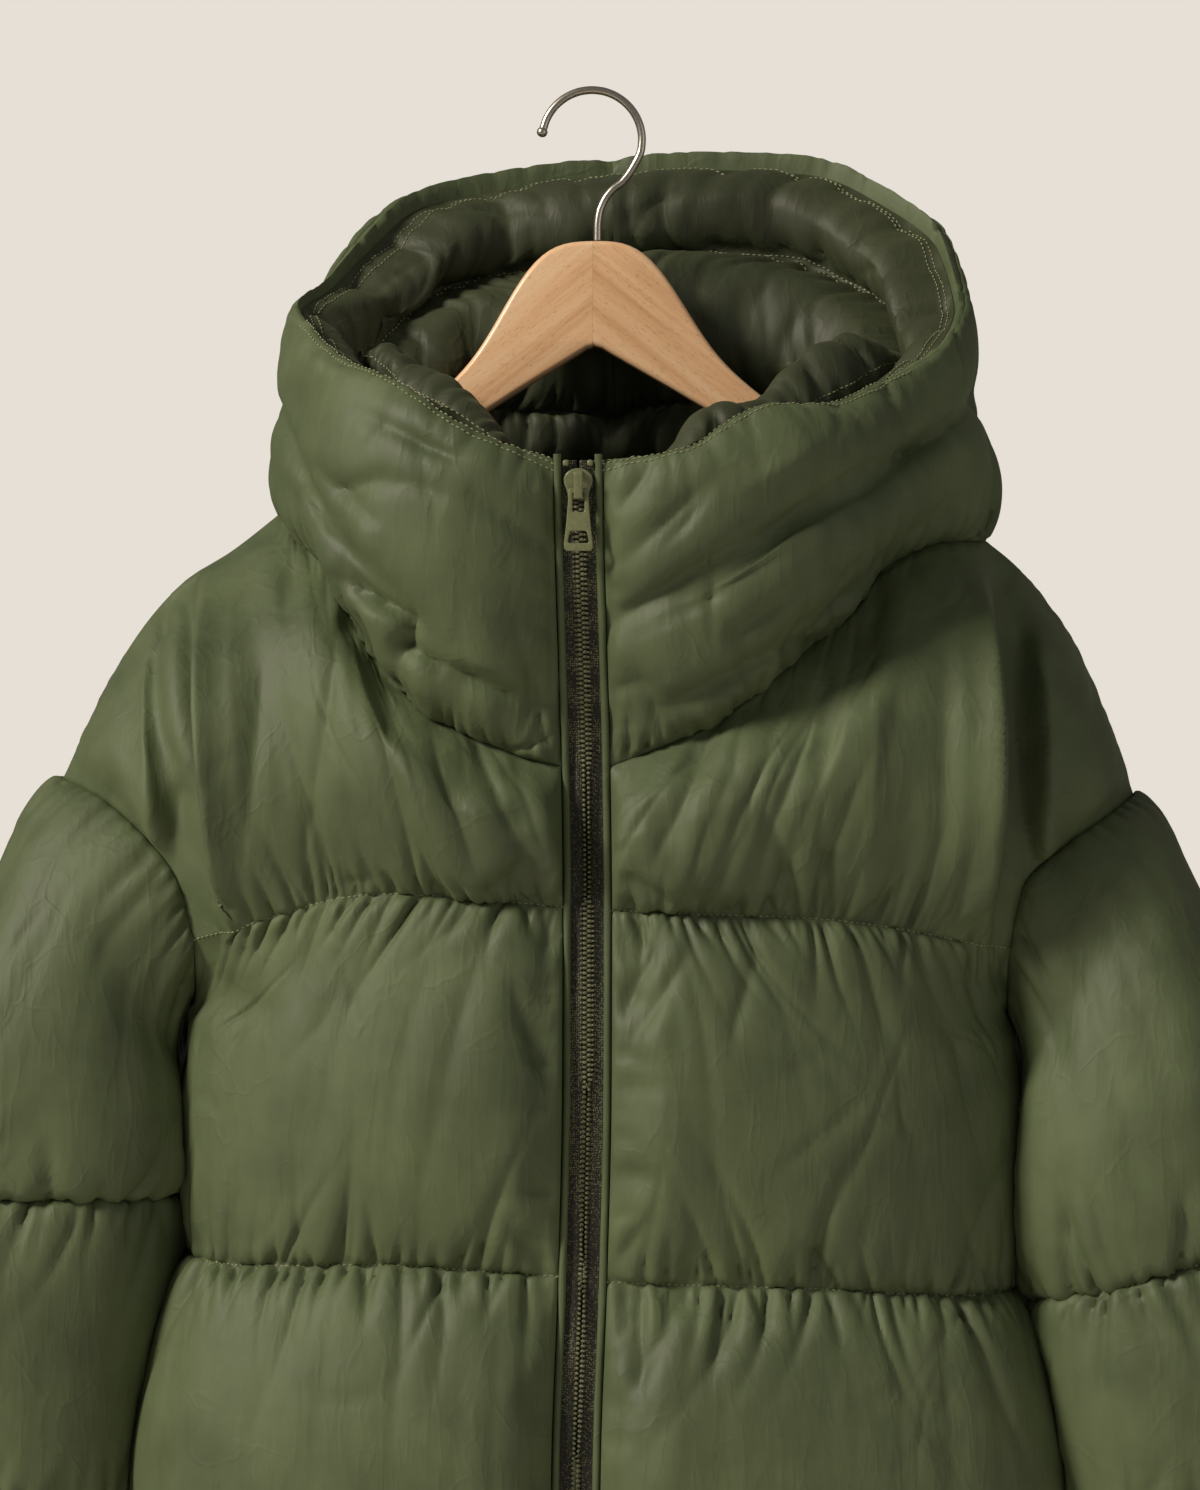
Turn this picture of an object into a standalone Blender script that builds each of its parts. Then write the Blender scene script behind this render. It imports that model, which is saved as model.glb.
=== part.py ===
"""A long hooded puffer coat hanging on a wooden hanger.

Lengths are in millimetres until a mesh is made. +X is to the right of someone who faces the coat's
front, -Y is the coat's front, +Z is up. The origin is where the hook rests on its rail.

Every cloth piece is a padded wall between two grids of points: an outer skin that puffs up between the
quilt lines, and a plain inner skin. Neighbouring pieces share the points of their seam, and each stops
SEAM_GAP short of it.
"""

import math

import bmesh
import bpy
import numpy as np
from mathutils import Matrix

MM = 0.001
SEAM_GAP = 0.2          # each piece stops this far short of a seam line
SKIN_IN = 1.8           # the inner skin lies this far inside the seam surface
SKIN_OUT = 1.2          # the outer skin lies at least this far outside it

# Rows and columns of the grids.
NECK_COLUMNS = 9        # from the zip to the high shoulder point
SHOULDER_COLUMNS = 5    # from there to the sleeve
BACK_NECK_COLUMNS = 7   # from the high shoulder point to the centre back
CHANNEL_ROWS = (6, 6, 5, 5, 5, 3)
ARMPIT_ROWS = 2         # rows of the second channel that lie on the armhole

# Quilting.
FRONT_PUFF = 25.0
SIDE_PUFF = 6.5
BACK_PUFF = 20.0
SLEEVE_PUFF = 13.0
GATHER_DEPTH = 2.2      # every second column dips by this much beside a quilt line
SHOULDER_RISE = {"left": 2.0, "right": 11.0}  # the back panel's swell above the shoulder seam
CENTRE_BACK_X = 4.0

# The front opening. The zip's centre line wanders a little; x and front depth by height.
ZIP_LINE = [
    # z, x, depth
    (-205, -7.0, 149),
    (-260, -6.0, 137),
    (-310, -4.6, 124),
    (-369, -3.0, 111),
    (-441, -2.2, 110),
    (-535, -2.4, 114),
    (-634, -4.6, 110),
    (-730, -8.0, 116),
    (-826, -9.0, 116),
    (-1018, -8.0, 122),
    (-1210, -7.0, 126),
    (-1345, -6.0, 128),
]
PANEL_EDGE = 12.9       # from the zip's centre line to the front panels
HEM_Z = -1345

# Seam lines, from the zip towards the side. Each row is a point x, y, z.
NECK_SEAM = {
    "left": [
        (-16, -111, -369), (-34, -111, -365), (-49, -111, -359), (-78, -108, -345.5), (-89, -104, -338),
        (-105, -96, -322), (-120, -84, -301), (-128, -74, -285), (-136, -61, -268), (-145, -49, -258),
        (-158, -30, -246), (-170, 0, -231),
    ],
    "right": [
        (10, -111, -369), (34, -111, -360), (57, -109, -350), (76, -104, -338), (90, -98, -328),
        (110, -86, -310), (128, -72, -295), (141, -58, -282), (151, -47, -268), (166, -34, -257),
        (190, -22, -248), (215, 0, -246),
    ],
}
BACK_NECK_SEAM = {
    # from the centre back to the high shoulder point
    "left": [(12, 82, -212), (-50, 80, -212), (-110, 68, -215), (-150, 44, -220), (-170, 0, -231)],
    "right": [(12, 82, -212), (70, 80, -213), (140, 70, -220), (192, 44, -232), (215, 0, -246)],
}
SHOULDER_SEAM = {
    "left": [
        (-170, 0, -231), (-197, 0, -252), (-222, 0, -268), (-243, 0, -290), (-266, 0, -326), (-290, 0, -377),
    ],
    "right": [
        (215, 0, -246), (232, 0, -260), (250, 0, -281), (268, 0, -310), (283, 0, -345), (297, 0, -386),
    ],
}
FRONT_ARMHOLE = {
    # from the shoulder tip to the armpit
    "left": [(-290, 0, -377), (-266, -32, -387), (-238, -54, -408), (-220, -62, -431), (-212, -60, -461),
             (-214, -35, -489), (-221, 0, -501)],
    "right": [(297, 0, -386), (276, -34, -398), (250, -54, -414), (230, -60, -433), (223, -58, -466),
              (224, -35, -497), (232, 0, -511)],
}
QUILT_END = 4           # the first quilt line meets the armhole at this row
BACK_ARMHOLE = {
    "left": [(-290, 0, -377), (-268, 34, -384), (-244, 56, -406), (-228, 64, -432), (-220, 60, -462),
             (-217, 36, -490), (-221, 0, -501)],
    "right": [(297, 0, -386), (278, 36, -392), (254, 58, -414), (238, 64, -438), (231, 60, -470),
              (228, 36, -500), (232, 0, -511)],
}
QUILT_LINES = {
    # height at the zip, middle and side, half-width and back depth at the seam
    "left": [
        # zip_z, mid_z, side_z, side_x, back_depth
        (-442, -436, -461, 212, 84),
        (-634, -629, -634, 216, 86),
        (-826, -822, -828, 240, 90),
        (-1018, -1016, -1022, 252, 96),
        (-1210, -1209, -1214, 262, 100),
        (HEM_Z, HEM_Z, HEM_Z, 268, 102),
    ],
    "right": [
        (-444, -448, -466, 223, 84),
        (-637, -641, -652, 228, 86),
        (-829, -832, -838, 248, 90),
        (-1020, -1022, -1028, 258, 96),
        (-1211, -1212, -1216, 266, 100),
        (HEM_Z, HEM_Z, HEM_Z, 270, 102),
    ],
}
SIDE_TOP = {"left": (-213, 0, -522), "right": (224, 0, -532)}

# The deep fold from the shoulder to the armpit, where the sleeve's head hangs off the hanger.
SHOULDER_FOLD = {
    "left": [(-290, -235), (-330, -230), (-372, -222), (-400, -214), (-440, -198)],
    "right": [(-290, 226), (-330, 223), (-372, 222), (-420, 221), (-460, 220)],
}
SHOULDER_FOLD_DEPTH = 12.0
SHOULDER_FOLD_WIDTH = 13.0

# The hood. Share of the way from the zip (0) past the side (0.5) to the centre back (1).
RIM = {
    "left": [
        # share, x, y, z
        (0.00, -19, -147, -213),
        (0.12, -59, -148, -199),
        (0.20, -96, -131, -174),
        (0.28, -126, -101, -158),
        (0.36, -147, -64, -138),
        (0.43, -157, -30, -122),
        (0.50, -145, 2, -108),
        (0.62, -125, 34, -82),
        (0.72, -98, 62, -54),
        (0.82, -64, 80, -43),
        (0.91, -28, 87, -36),
        (1.00, 12, 90, -31),
    ],
    "right": [
        (0.00, 6, -147, -213),
        (0.12, 47, -149, -208),
        (0.20, 84, -141, -187),
        (0.28, 119, -122, -183),
        (0.36, 154, -94, -167),
        (0.43, 187, -52, -143),
        (0.50, 198, -14, -118),
        (0.61, 193, 28, -82),
        (0.71, 164, 60, -52),
        (0.81, 124, 80, -32),
        (0.90, 66, 88, -28),
        (1.00, 12, 90, -31),
    ],
}
RIM_HEIGHT = 15.0       # height of the sewn edge that the two sides of the hood share at the rim
HOOD_WALL = 5.0         # least thickness of the hood's inner side
HOOD_AXIS = (12, -22)   # the inside slopes towards this line
HOOD_BULGE = [
    # share, outward bulge of the outer side, lift behind the rim
    (0.00, 3, 0), (0.10, 18, 2), (0.25, 22, 5), (0.40, 11, 8), (0.50, 9, 12), (0.70, 22, 20), (1.00, 26, 22),
]
HOOD_FOLDS = {
    # share and height share at each end of a fold, depth, width
    "left": [(0.02, 0.20, 0.26, 0.42, 7, 0.07), (0.26, 0.42, 0.47, 0.60, 6, 0.07)],
    "right": [
        (0.03, 0.46, 0.34, 0.62, 8, 0.07),
        (0.34, 0.62, 0.50, 0.62, 7, 0.08),
        (0.03, 0.14, 0.30, 0.20, 5, 0.06),
    ],
}
HOOD_INSIDE = {
    # distances in from the rim, and down from it, of the rim roll, the hollow under it, the crest, the
    # belly and the foot of the inner roll, and the low bulge of the neck
    "left": [
        # share, roll, down, hollow, down, crest, down, belly, down, foot, down, low, down
        (0.00, 5, 10, 5, 24, 6, 40, 7, 62, 7, 90, 7, 120),
        (0.12, 20, 9, 24, 16, 40, 4, 52, 24, 44, 64, 36, 100),
        (0.25, 27, 11, 32, 20, 50, 0, 66, 24, 54, 58, 40, 86),
        (0.38, 29, 14, 34, 26, 46, 8, 60, 32, 44, 60, 30, 80),
        (0.44, 28, 15, 31, 30, 40, 22, 50, 42, 32, 68, 14, 88),
        (0.50, 26, 16, 20, 34, 28, 38, 38, 54, 20, 78, -2, 98),
        (0.65, 36, 20, 18, 42, 40, 44, 54, 68, 36, 104, 18, 128),
        (0.80, 38, 24, 20, 48, 48, 52, 67, 84, 46, 126, 52, 146),
        (1.00, 38, 26, 20, 50, 52, 54, 73, 86, 50, 144, 62, 160),
    ],
    "right": [
        (0.00, 5, 10, 5, 24, 6, 40, 7, 62, 7, 90, 7, 120),
        (0.12, 18, 9, 20, 16, 38, 2, 50, 24, 44, 64, 36, 100),
        (0.25, 26, 12, 31, 20, 46, 2, 58, 24, 52, 58, 40, 86),
        (0.38, 30, 14, 36, 28, 52, 10, 68, 32, 56, 62, 40, 78),
        (0.44, 31, 15, 34, 31, 50, 22, 66, 42, 50, 68, 28, 92),
        (0.50, 32, 16, 26, 36, 46, 38, 60, 56, 40, 78, 14, 104),
        (0.65, 38, 20, 18, 44, 46, 46, 66, 74, 48, 112, 34, 134),
        (0.80, 38, 24, 20, 50, 52, 52, 69, 86, 50, 134, 54, 154),
        (1.00, 38, 26, 20, 50, 52, 54, 73, 86, 50, 144, 62, 160),
    ],
}
# Rows of each stretch of that profile, and whether it starts level (1) or steep (0).
HOOD_INSIDE_STRETCHES = ((3, 1), (2, 0), (2, 0), (3, 1), (3, 0), (2, 1), (2, 0))

# Sleeves: points on the outer and the inner edge seen from the front, then half depth and centre depth.
SLEEVE = {
    "left": [
        # out_x, out_z, in_x, in_z, half_depth, centre_y, quilt (0 at a seam, 1 in mid-channel)
        (-305, -404, -228, -520, 65, -1, 0.35),
        (-325, -450, -223, -542, 67, -3, 0.75),
        (-350, -508, -222, -565, 69, -6, 1.0),
        (-369, -558, -223, -586, 68, -8, 0.85),
        (-379, -585, -228, -597, 66, -9, 0.4),
        (-381, -597, -231, -601, 65, -9, 0.0),
        (-386, -611, -233, -614, 65, -9, 0.45),
        (-395, -640, -238, -645, 67, -10, 0.9),
        (-399, -679, -244, -682, 68, -10, 1.0),
        (-400, -718, -248, -722, 66, -11, 0.9),
        (-398, -746, -253, -749, 64, -12, 0.45),
        (-397, -758, -254, -761, 63, -12, 0.0),
        (-398, -771, -256, -774, 63, -12, 0.45),
        (-400, -806, -262, -808, 62, -13, 0.95),
        (-396, -842, -268, -844, 57, -14, 0.8),
        (-388, -870, -278, -871, 48, -15, 0.1),
    ],
    "right": [
        (312, -414, 236, -528, 65, -5, 0.35),
        (329, -456, 233, -550, 67, -12, 0.75),
        (352, -514, 233, -584, 69, -20, 1.0),
        (371, -566, 236, -622, 68, -24, 0.85),
        (382, -596, 243, -645, 66, -25, 0.4),
        (384, -608, 246, -655, 65, -25, 0.0),
        (388, -622, 248, -668, 65, -25, 0.45),
        (396, -655, 251, -694, 67, -26, 0.9),
        (401, -695, 255, -722, 68, -26, 1.0),
        (402, -733, 259, -752, 66, -26, 0.9),
        (401, -760, 263, -774, 64, -26, 0.45),
        (400, -772, 264, -785, 63, -26, 0.0),
        (401, -785, 266, -797, 63, -26, 0.45),
        (402, -815, 271, -822, 62, -26, 0.95),
        (397, -846, 277, -850, 57, -26, 0.8),
        (389, -872, 286, -874, 48, -26, 0.1),
    ],
}
CUFF_LENGTH = 34.0
CUFF_RISE = 3.2
SLEEVE_CLEARANCE = 1.4  # between a sleeve and the side of the body

# Hanger.
HANGER_TOP = [
    # distance from the mitre, height of the upper edge, height of the lower edge
    (0, -81, -138),
    (20, -82, -150),
    (35, -94, -159),
    (45, -108, -165),
    (53, -124, -170),
    (63, -141, -176),
    (74, -153.3, -182),
    (90, -167, -192),
    (112, -185, -207),
    (135, -205, -226),
    (150, -220.5, -242),
    (165, -235, -258),
    (185, -249, -275),
    (205, -263, -290),
    (220, -273, -302),
]
HANGER_THICK = 13.0
HANGER_EDGE = 3.0       # radius of the rounded edges
HANGER_TILT = math.radians(1.0)
HANGER_PIVOT = (0.4, -81.0)
HOOK_WIRE = 2.2         # radius
HOOK_CENTRE = (0.0, -25.3)
HOOK_RADIUS = 27.5
HOOK_BEND = [
    # x, z
    (22.6, -40.2), (16.5, -48.5), (11.0, -52.8), (6.5, -59.0), (3.9, -66.0), (3.1, -73.0), (3.0, -80.4),
]
HOOK_BALL = [
    # distance beyond the wire's end, radius as a share of the wire's
    (4.6, 0.35), (4.0, 0.95), (2.6, 1.32), (1.2, 1.34), (0.0, 1.0),
]

# Zip.
ZIP_STEPS = 26
TEETH_HALF = 3.4
TAPE_HALF = 8.2
WELT_IN = 8.5
WELT_OUT = 12.5
ZIP_TOP = -213.0
SLIDER_Z = -225.0       # centre of the slider
SLIDER_SIZE = (15.0, 2.0, 16.0)
SLIDER_OFF = 3.3        # from the zip's line forward to the middle of the slider's plate
BRIDGE_WIDTH = 4.6
BRIDGE_CLEAR = 3.5      # between the plate and the bridge
BRIDGE_THICK = 1.5
BRIDGE_HALF = 7.0       # half its height
PIVOT_Z = -228.5        # axis of the pull tab's hinge
PULL_THICK = 1.8
PULL_OUTLINE = [
    # x, z from the hinge's axis, right half from top to bottom
    (3.6, 1.2), (4.6, 0.9), (5.1, 0.0), (5.3, -6.0), (6.3, -18.0), (7.4, -27.5), (7.3, -29.6), (6.0, -30.8),
]
PULL_SLOT = [(2.4, -1.2), (3.1, -1.8), (3.1, -10.2), (2.4, -11.0)]
PULL_HOLE = [(3.6, -20.6), (4.3, -21.2), (5.4, -25.9), (4.9, -26.8)]


# ------------------------------------------------------------------ curves through tables


def smooth(xs, ys, q):
    """The monotone cubic through ys at xs, read at q. ys may hold several columns."""
    xs = np.asarray(xs, float)
    ys = np.asarray(ys, float)
    q = np.asarray(q, float)
    columns = ys.reshape(len(xs), -1)
    width = np.diff(xs)[:, None]
    slope = np.diff(columns, axis=0) / width
    before, after = slope[:-1], slope[1:]
    agree = before * after > 0
    total = np.where(agree, before + after, 1.0)
    middle = np.where(agree, 2 * before * after / total, 0.0)
    tangent = np.vstack([slope[:1], middle, slope[-1:]])
    i = np.clip(np.searchsorted(xs, q, side="right") - 1, 0, len(xs) - 2)
    t = np.clip((q - xs[i]) / (xs[i + 1] - xs[i]), 0, 1)[..., None]
    h = width[i]
    result = (
        (2 * t**3 - 3 * t**2 + 1) * columns[i]
        + (t**3 - 2 * t**2 + t) * h * tangent[i]
        + (3 * t**2 - 2 * t**3) * columns[i + 1]
        + (t**3 - t**2) * h * tangent[i + 1]
    )
    return result.reshape(q.shape + ys.shape[1:])


def along(points, shares):
    """Points at these shares of the length of a smooth line through points."""
    points = np.asarray(points, float)
    steps = np.linalg.norm(np.diff(points, axis=0), axis=1)
    at = np.concatenate([[0], np.cumsum(steps)]) / steps.sum()
    return smooth(at, points, shares)


def zip_line(z):
    """x of the zip's centre line and the front's y at this height."""
    table = np.array(ZIP_LINE)[::-1]
    x, depth = np.moveaxis(smooth(table[:, 0], table[:, 1:], z), -1, 0)
    return x, -depth


def centred(count):
    """count + 1 shares from 0 to 1, closer together at both ends."""
    even = np.linspace(0, 1, count + 1)
    return 0.35 * even + 0.65 * (1 - np.cos(math.pi * even)) / 2


def sign_of(side):
    return -1.0 if side == "left" else 1.0


# ------------------------------------------------------------------ grids


def coons(top, bottom, left, right):
    """The surface spanned by four edge lines, as rows from top to bottom."""
    t = share_of(left, right)[:, None, None]
    s = share_of(top, bottom)[None, :, None]
    across = (1 - s) * left[:, None] + s * right[:, None]
    down = (1 - t) * top[None] + t * bottom[None]
    corners = (1 - t) * ((1 - s) * top[0] + s * top[-1]) + t * ((1 - s) * bottom[0] + s * bottom[-1])
    return across + down - corners


def share_of(one, other):
    """Mean share of length at each point of two facing edges."""
    shares = []
    for line in (one, other):
        steps = np.linalg.norm(np.diff(line, axis=0), axis=1)
        shares.append(np.concatenate([[0], np.cumsum(steps)]) / steps.sum())
    return (shares[0] + shares[1]) / 2


def normals_of(grid, outward):
    """Unit normals of a grid, on the side that outward points to (one vector a point)."""
    down = np.gradient(grid, axis=0)
    across = np.gradient(grid, axis=1)
    normal = np.cross(across, down)
    normal /= np.maximum(np.linalg.norm(normal, axis=2, keepdims=True), 1e-9)
    flip = np.sign((normal * outward).sum(axis=2, keepdims=True))
    return normal * np.where(flip == 0, 1, flip)


def unit(vectors):
    vectors = np.asarray(vectors, float)
    return vectors / np.maximum(np.linalg.norm(vectors, axis=-1, keepdims=True), 1e-9)


def pulled_in(grid, edges):
    """The grid with these edges moved SEAM_GAP towards the inside of the piece."""
    grid = grid.copy()
    if "top" in edges:
        grid[0] += SEAM_GAP * unit(grid[1] - grid[0])
    if "bottom" in edges:
        grid[-1] += SEAM_GAP * unit(grid[-2] - grid[-1])
    if "left" in edges:
        grid[:, 0] += SEAM_GAP * unit(grid[:, 1] - grid[:, 0])
    if "right" in edges:
        grid[:, -1] += SEAM_GAP * unit(grid[:, -2] - grid[:, -1])
    return grid


def roundness(distance, reach):
    """Rises from 0 at a seam to 1 at this reach from it, like the side of a cushion."""
    t = np.clip(np.asarray(distance, float) / reach, 0, 1)
    return np.sqrt(1 - (1 - t) ** 2)


# ------------------------------------------------------------------ meshes


def wall(name, outer, inner, material, closed=False):
    """A closed solid between two grids of the same size. closed joins the last column to the first."""
    rows, columns = outer.shape[:2]
    mesh = bmesh.new()
    skins = []
    for grid in (outer, inner):
        skins.append([[mesh.verts.new(point * MM) for point in row] for row in grid])
    last = columns if closed else columns - 1
    for skin in skins:
        for i in range(rows - 1):
            for j in range(last):
                k = (j + 1) % columns
                mesh.faces.new((skin[i][j], skin[i][k], skin[i + 1][k], skin[i + 1][j]))
    out, back = skins
    for i in (0, rows - 1):
        for j in range(last):
            k = (j + 1) % columns
            mesh.faces.new((out[i][j], out[i][k], back[i][k], back[i][j]))
    if not closed:
        for j in (0, columns - 1):
            for i in range(rows - 1):
                mesh.faces.new((out[i][j], out[i + 1][j], back[i + 1][j], back[i][j]))
    bmesh.ops.recalc_face_normals(mesh, faces=mesh.faces)
    data = bpy.data.meshes.new(name)
    mesh.to_mesh(data)
    mesh.free()
    return add_object(name, data, material, math.radians(50))


def add_object(name, data, material, sharp=None):
    if sharp is not None:
        data.shade_smooth()
        data.set_sharp_from_angle(angle=sharp)
    obj = bpy.data.objects.new(name, data)
    obj.data.materials.append(material)
    PARTS.objects.link(obj)
    return obj


def make_material(name, colour, roughness, metallic=0.0):
    material = bpy.data.materials.new(name)
    material.use_nodes = True
    shader = material.node_tree.nodes["Principled BSDF"]
    linear = [c / 12.92 if c <= 0.04045 else ((c + 0.055) / 1.055) ** 2.4 for c in colour]
    shader.inputs["Base Color"].default_value = (*linear, 1)
    shader.inputs["Roughness"].default_value = roughness
    shader.inputs["Metallic"].default_value = metallic
    material.diffuse_color = (*linear, 1)
    return material


# ------------------------------------------------------------------ the body


def zip_edge(side, z):
    """Points of a front panel's edge beside the zip."""
    z = np.asarray(z, float)
    x, y = zip_line(z)
    return np.stack([x + sign_of(side) * PANEL_EDGE, y, z], axis=-1)


def neck_and_shoulder(side, front):
    """The panel's top edge, from its centre line to the shoulder tip."""
    neck = (NECK_SEAM if front else BACK_NECK_SEAM)[side]
    count = NECK_COLUMNS if front else BACK_NECK_COLUMNS
    first = along(neck, np.linspace(0, 1, count + 1))
    if front:
        first[0] = zip_edge(side, neck[0][2])
    second = along(SHOULDER_SEAM[side], np.linspace(0, 1, SHOULDER_COLUMNS + 1))
    return np.concatenate([first, second[1:]])


def quilt_line(side, number, front):
    """One quilt line across half of the front or back, from the centre line to the side."""
    zip_z, mid_z, side_z, side_x, back_depth = QUILT_LINES[side][number]
    columns = (NECK_COLUMNS if front else BACK_NECK_COLUMNS) + SHOULDER_COLUMNS
    sign = sign_of(side)
    s = np.linspace(0, 1, columns + 1)
    end = np.array((FRONT_ARMHOLE if front else BACK_ARMHOLE)[side][QUILT_END], float)
    if front:
        start = zip_edge(side, zip_z)
    else:
        start = np.array([CENTRE_BACK_X, back_depth, back_z(number)])
        mid_z = (back_z(number) + side_z) / 2
    if number == 0:
        x_share = s
        y_share = 1 - s**3
        end_y = end[1]
        end_x, end_z = end[0], end[2]
    else:
        turn = s * math.pi / 2
        x_share = np.sin(turn) ** 0.86
        y_share = np.cos(turn) ** 0.66
        y_share[-1] = 0
        end_x, end_y, end_z = sign * side_x, 0, side_z
    x = start[0] + (end_x - start[0]) * x_share
    y = end_y + (start[1] - end_y) * y_share
    z = smooth([0, 0.45, 1], [start[2], mid_z, end_z], x_share)
    return np.stack([x, y, z], axis=-1)


def back_z(number):
    """Height of a quilt line at the centre back."""
    left, right = QUILT_LINES["left"][number], QUILT_LINES["right"][number]
    return (left[2] + right[2]) / 2 + (14 if number == 0 else 0)


def channel_edges(side, number, front, rows):
    """The centre and the side edge of one channel of half a front or back."""
    shares = centred(rows)
    table = (FRONT_ARMHOLE if front else BACK_ARMHOLE)[side]
    top_line = neck_and_shoulder(side, front) if number == 0 else quilt_line(side, number - 1, front)
    bottom_line = quilt_line(side, number, front)
    top, bottom = top_line[0], bottom_line[0]
    heights = top[2] + (bottom[2] - top[2]) * shares
    if front:
        centre = zip_edge(side, heights)
    else:
        centre = top + (bottom - top) * shares[:, None]
        centre[:, 1] += 6 * np.sin(math.pi * shares) if number == 0 else 0
    if number == 0:
        outer = along(table[: QUILT_END + 1], shares)
    elif number == 1:
        on_armhole = along(table[QUILT_END:], np.linspace(0, 1, ARMPIT_ROWS + 1))
        side_line = [table[-1], SIDE_TOP[side], bottom_line[-1]]
        below = along(side_line, centred(rows - ARMPIT_ROWS))
        outer = np.concatenate([on_armhole, below[1:]])
    else:
        outer = top_line[-1] + (bottom_line[-1] - top_line[-1]) * shares[:, None]
    return top_line, bottom_line, centre, outer, shares


def half_panel(side, front):
    """Seam surface, quilting height and thickness directions of half a front or back."""
    grids, heights = [], []
    sign = sign_of(side)
    facing = -1.0 if front else 1.0
    for number, rows in enumerate(CHANNEL_ROWS):
        top, bottom, centre, outer, shares = channel_edges(side, number, front, rows)
        grid = coons(top, bottom, centre, outer)
        across = share_of(top, bottom)[None, :]
        v = shares[:, None]
        if number == 0:
            swell = np.sin(math.pi * across) ** 0.8 * np.sin(math.pi * v) ** 0.9
            grid[..., 1] += facing * swell * (12 if front else 14)
            if not front:
                bump = np.sin(math.pi * np.clip(v / 0.62, 0, 1))
                bump = bump * np.sin(math.pi * np.clip(across * 1.5 - 0.5, 0, 1))
                grid += SHOULDER_RISE[side] * bump[..., None] * np.array([0.7 * sign, 0.0, 0.7])
        width = np.linalg.norm(np.diff(grid, axis=1), axis=2).cumsum(axis=1)
        from_centre = np.concatenate([np.zeros((len(grid), 1)), width], axis=1)
        from_side = from_centre[:, -1:] - from_centre
        shape = np.maximum(np.sin(math.pi * v), 0) ** 0.62
        if number == 0:
            shape = np.where(v < 0.5, roundness(v, 0.62), shape)
        if number == len(CHANNEL_ROWS) - 1:
            shape = np.sin(math.pi * (0.10 + 0.90 * (1 - v))) ** 0.62
            shape = np.where(v == 0, 0, shape)
        puff = FRONT_PUFF if front else BACK_PUFF
        to_side = roundness(from_side, 95)
        height = shape * (SIDE_PUFF * roundness(from_side, 20) + (puff - SIDE_PUFF) * to_side)
        if front:
            height = height * roundness(from_centre + 1.0, 26)
        if number == 0:
            height = height * (0.45 + 0.55 * roundness(v, 0.7))
            height = height + 3.0 * np.sin(math.pi * v) * np.sin(math.pi * across)
            height = height * roundness(from_side, 30)
        gather = GATHER_DEPTH * (np.arange(grid.shape[1]) % 2)[None, :]
        near = np.exp(-(((np.abs(v - 0.5) - 0.5) / 0.16) ** 2)) * (shape > 0)
        height = np.maximum(height - gather * near, 0)
        if number < 2 and front:
            line = np.array(SHOULDER_FOLD[side])[::-1]
            fold_x = smooth(line[:, 0], line[:, 1], grid[..., 2])
            low_end = np.clip((grid[..., 2] - line[0, 0]) / 30 + 1, 0, 1)
            high_end = np.clip((line[-1, 0] + 12 - grid[..., 2]) / 24, 0, 1)
            groove = np.exp(-(((grid[..., 0] - fold_x) / SHOULDER_FOLD_WIDTH) ** 2)) * low_end * high_end
            height = np.maximum(height - SHOULDER_FOLD_DEPTH * groove, 0.3)
        keep = slice(0 if number == 0 else 1, None)
        grids.append(grid[keep])
        heights.append(np.broadcast_to(height, grid.shape[:2])[keep])
    grid, height = np.concatenate(grids), np.concatenate(heights)
    rows_to_quilt = CHANNEL_ROWS[0]
    armpit = rows_to_quilt + ARMPIT_ROWS
    outward = np.zeros_like(grid)
    outward[..., 1] = facing
    outward[..., 0] = 0.6 * sign
    outward[:rows_to_quilt, :, 2] = 0.5
    direction = normals_of(grid, outward)
    neck = NECK_COLUMNS if front else BACK_NECK_COLUMNS
    direction[:, 0] = (0, facing, 0)
    direction[0, : neck + 1] = neck_direction(grid[0, : neck + 1])
    direction[0, neck + 1 :] = unit([0.6 * sign, 0, 0.8])
    direction[0, neck] = unit([0.9 * sign, 0, 0.44])
    direction[: armpit + 1, -1] = armhole_direction(side, front, armpit + 1)
    direction[armpit + 1 :, -1] = (sign, 0, 0)
    height[0] = 0
    height[:, -1] = 0
    height *= roundness(np.linalg.norm(grid - grid[armpit, -1], axis=2), 55)
    return grid, height, direction


def neck_direction(points):
    """Horizontal directions away from the hood's axis."""
    away = np.zeros_like(points)
    away[:, :2] = points[:, :2] - np.array([HOOD_AXIS[0], HOOD_AXIS[1] + 20])
    away[:, 0] *= 0.8
    return unit(away)


def armhole_direction(side, front, count):
    """Thickness directions round half of the armhole, from the shoulder tip to the armpit."""
    sign = sign_of(side)
    turn = np.linspace(0, math.pi, count)[:, None]
    tip = unit([0.7 * sign, 0, 0.7])
    armpit = np.array([0, 0, 1.0])
    end = np.where(turn < math.pi / 2, tip, armpit)
    return unit(np.cos(turn) * end + np.sin(turn) * np.array([0, -1.0 if front else 1.0, 0]))


def skins_of(grid, height, direction):
    outer = grid + direction * (SKIN_OUT + height)[..., None]
    inner = grid - direction * SKIN_IN
    return outer, inner


def make_front(side, material):
    grid, height, direction = half_panel(side, True)
    grid = pulled_in(grid, ("top", "right"))
    outer, inner = skins_of(grid, height, direction)
    return wall(f"front_{side}", outer, inner, material)


def make_back(material):
    left = half_panel("left", False)
    right = half_panel("right", False)
    joined = [np.concatenate([a[:, ::-1], b[:, 1:]], axis=1) for a, b in zip(left, right)]
    grid, height, direction = joined
    grid = pulled_in(grid, ("top", "left", "right"))
    outer, inner = skins_of(grid, height, direction)
    return wall("back_panel", outer, inner, material)


# ------------------------------------------------------------------ the sleeves


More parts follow.
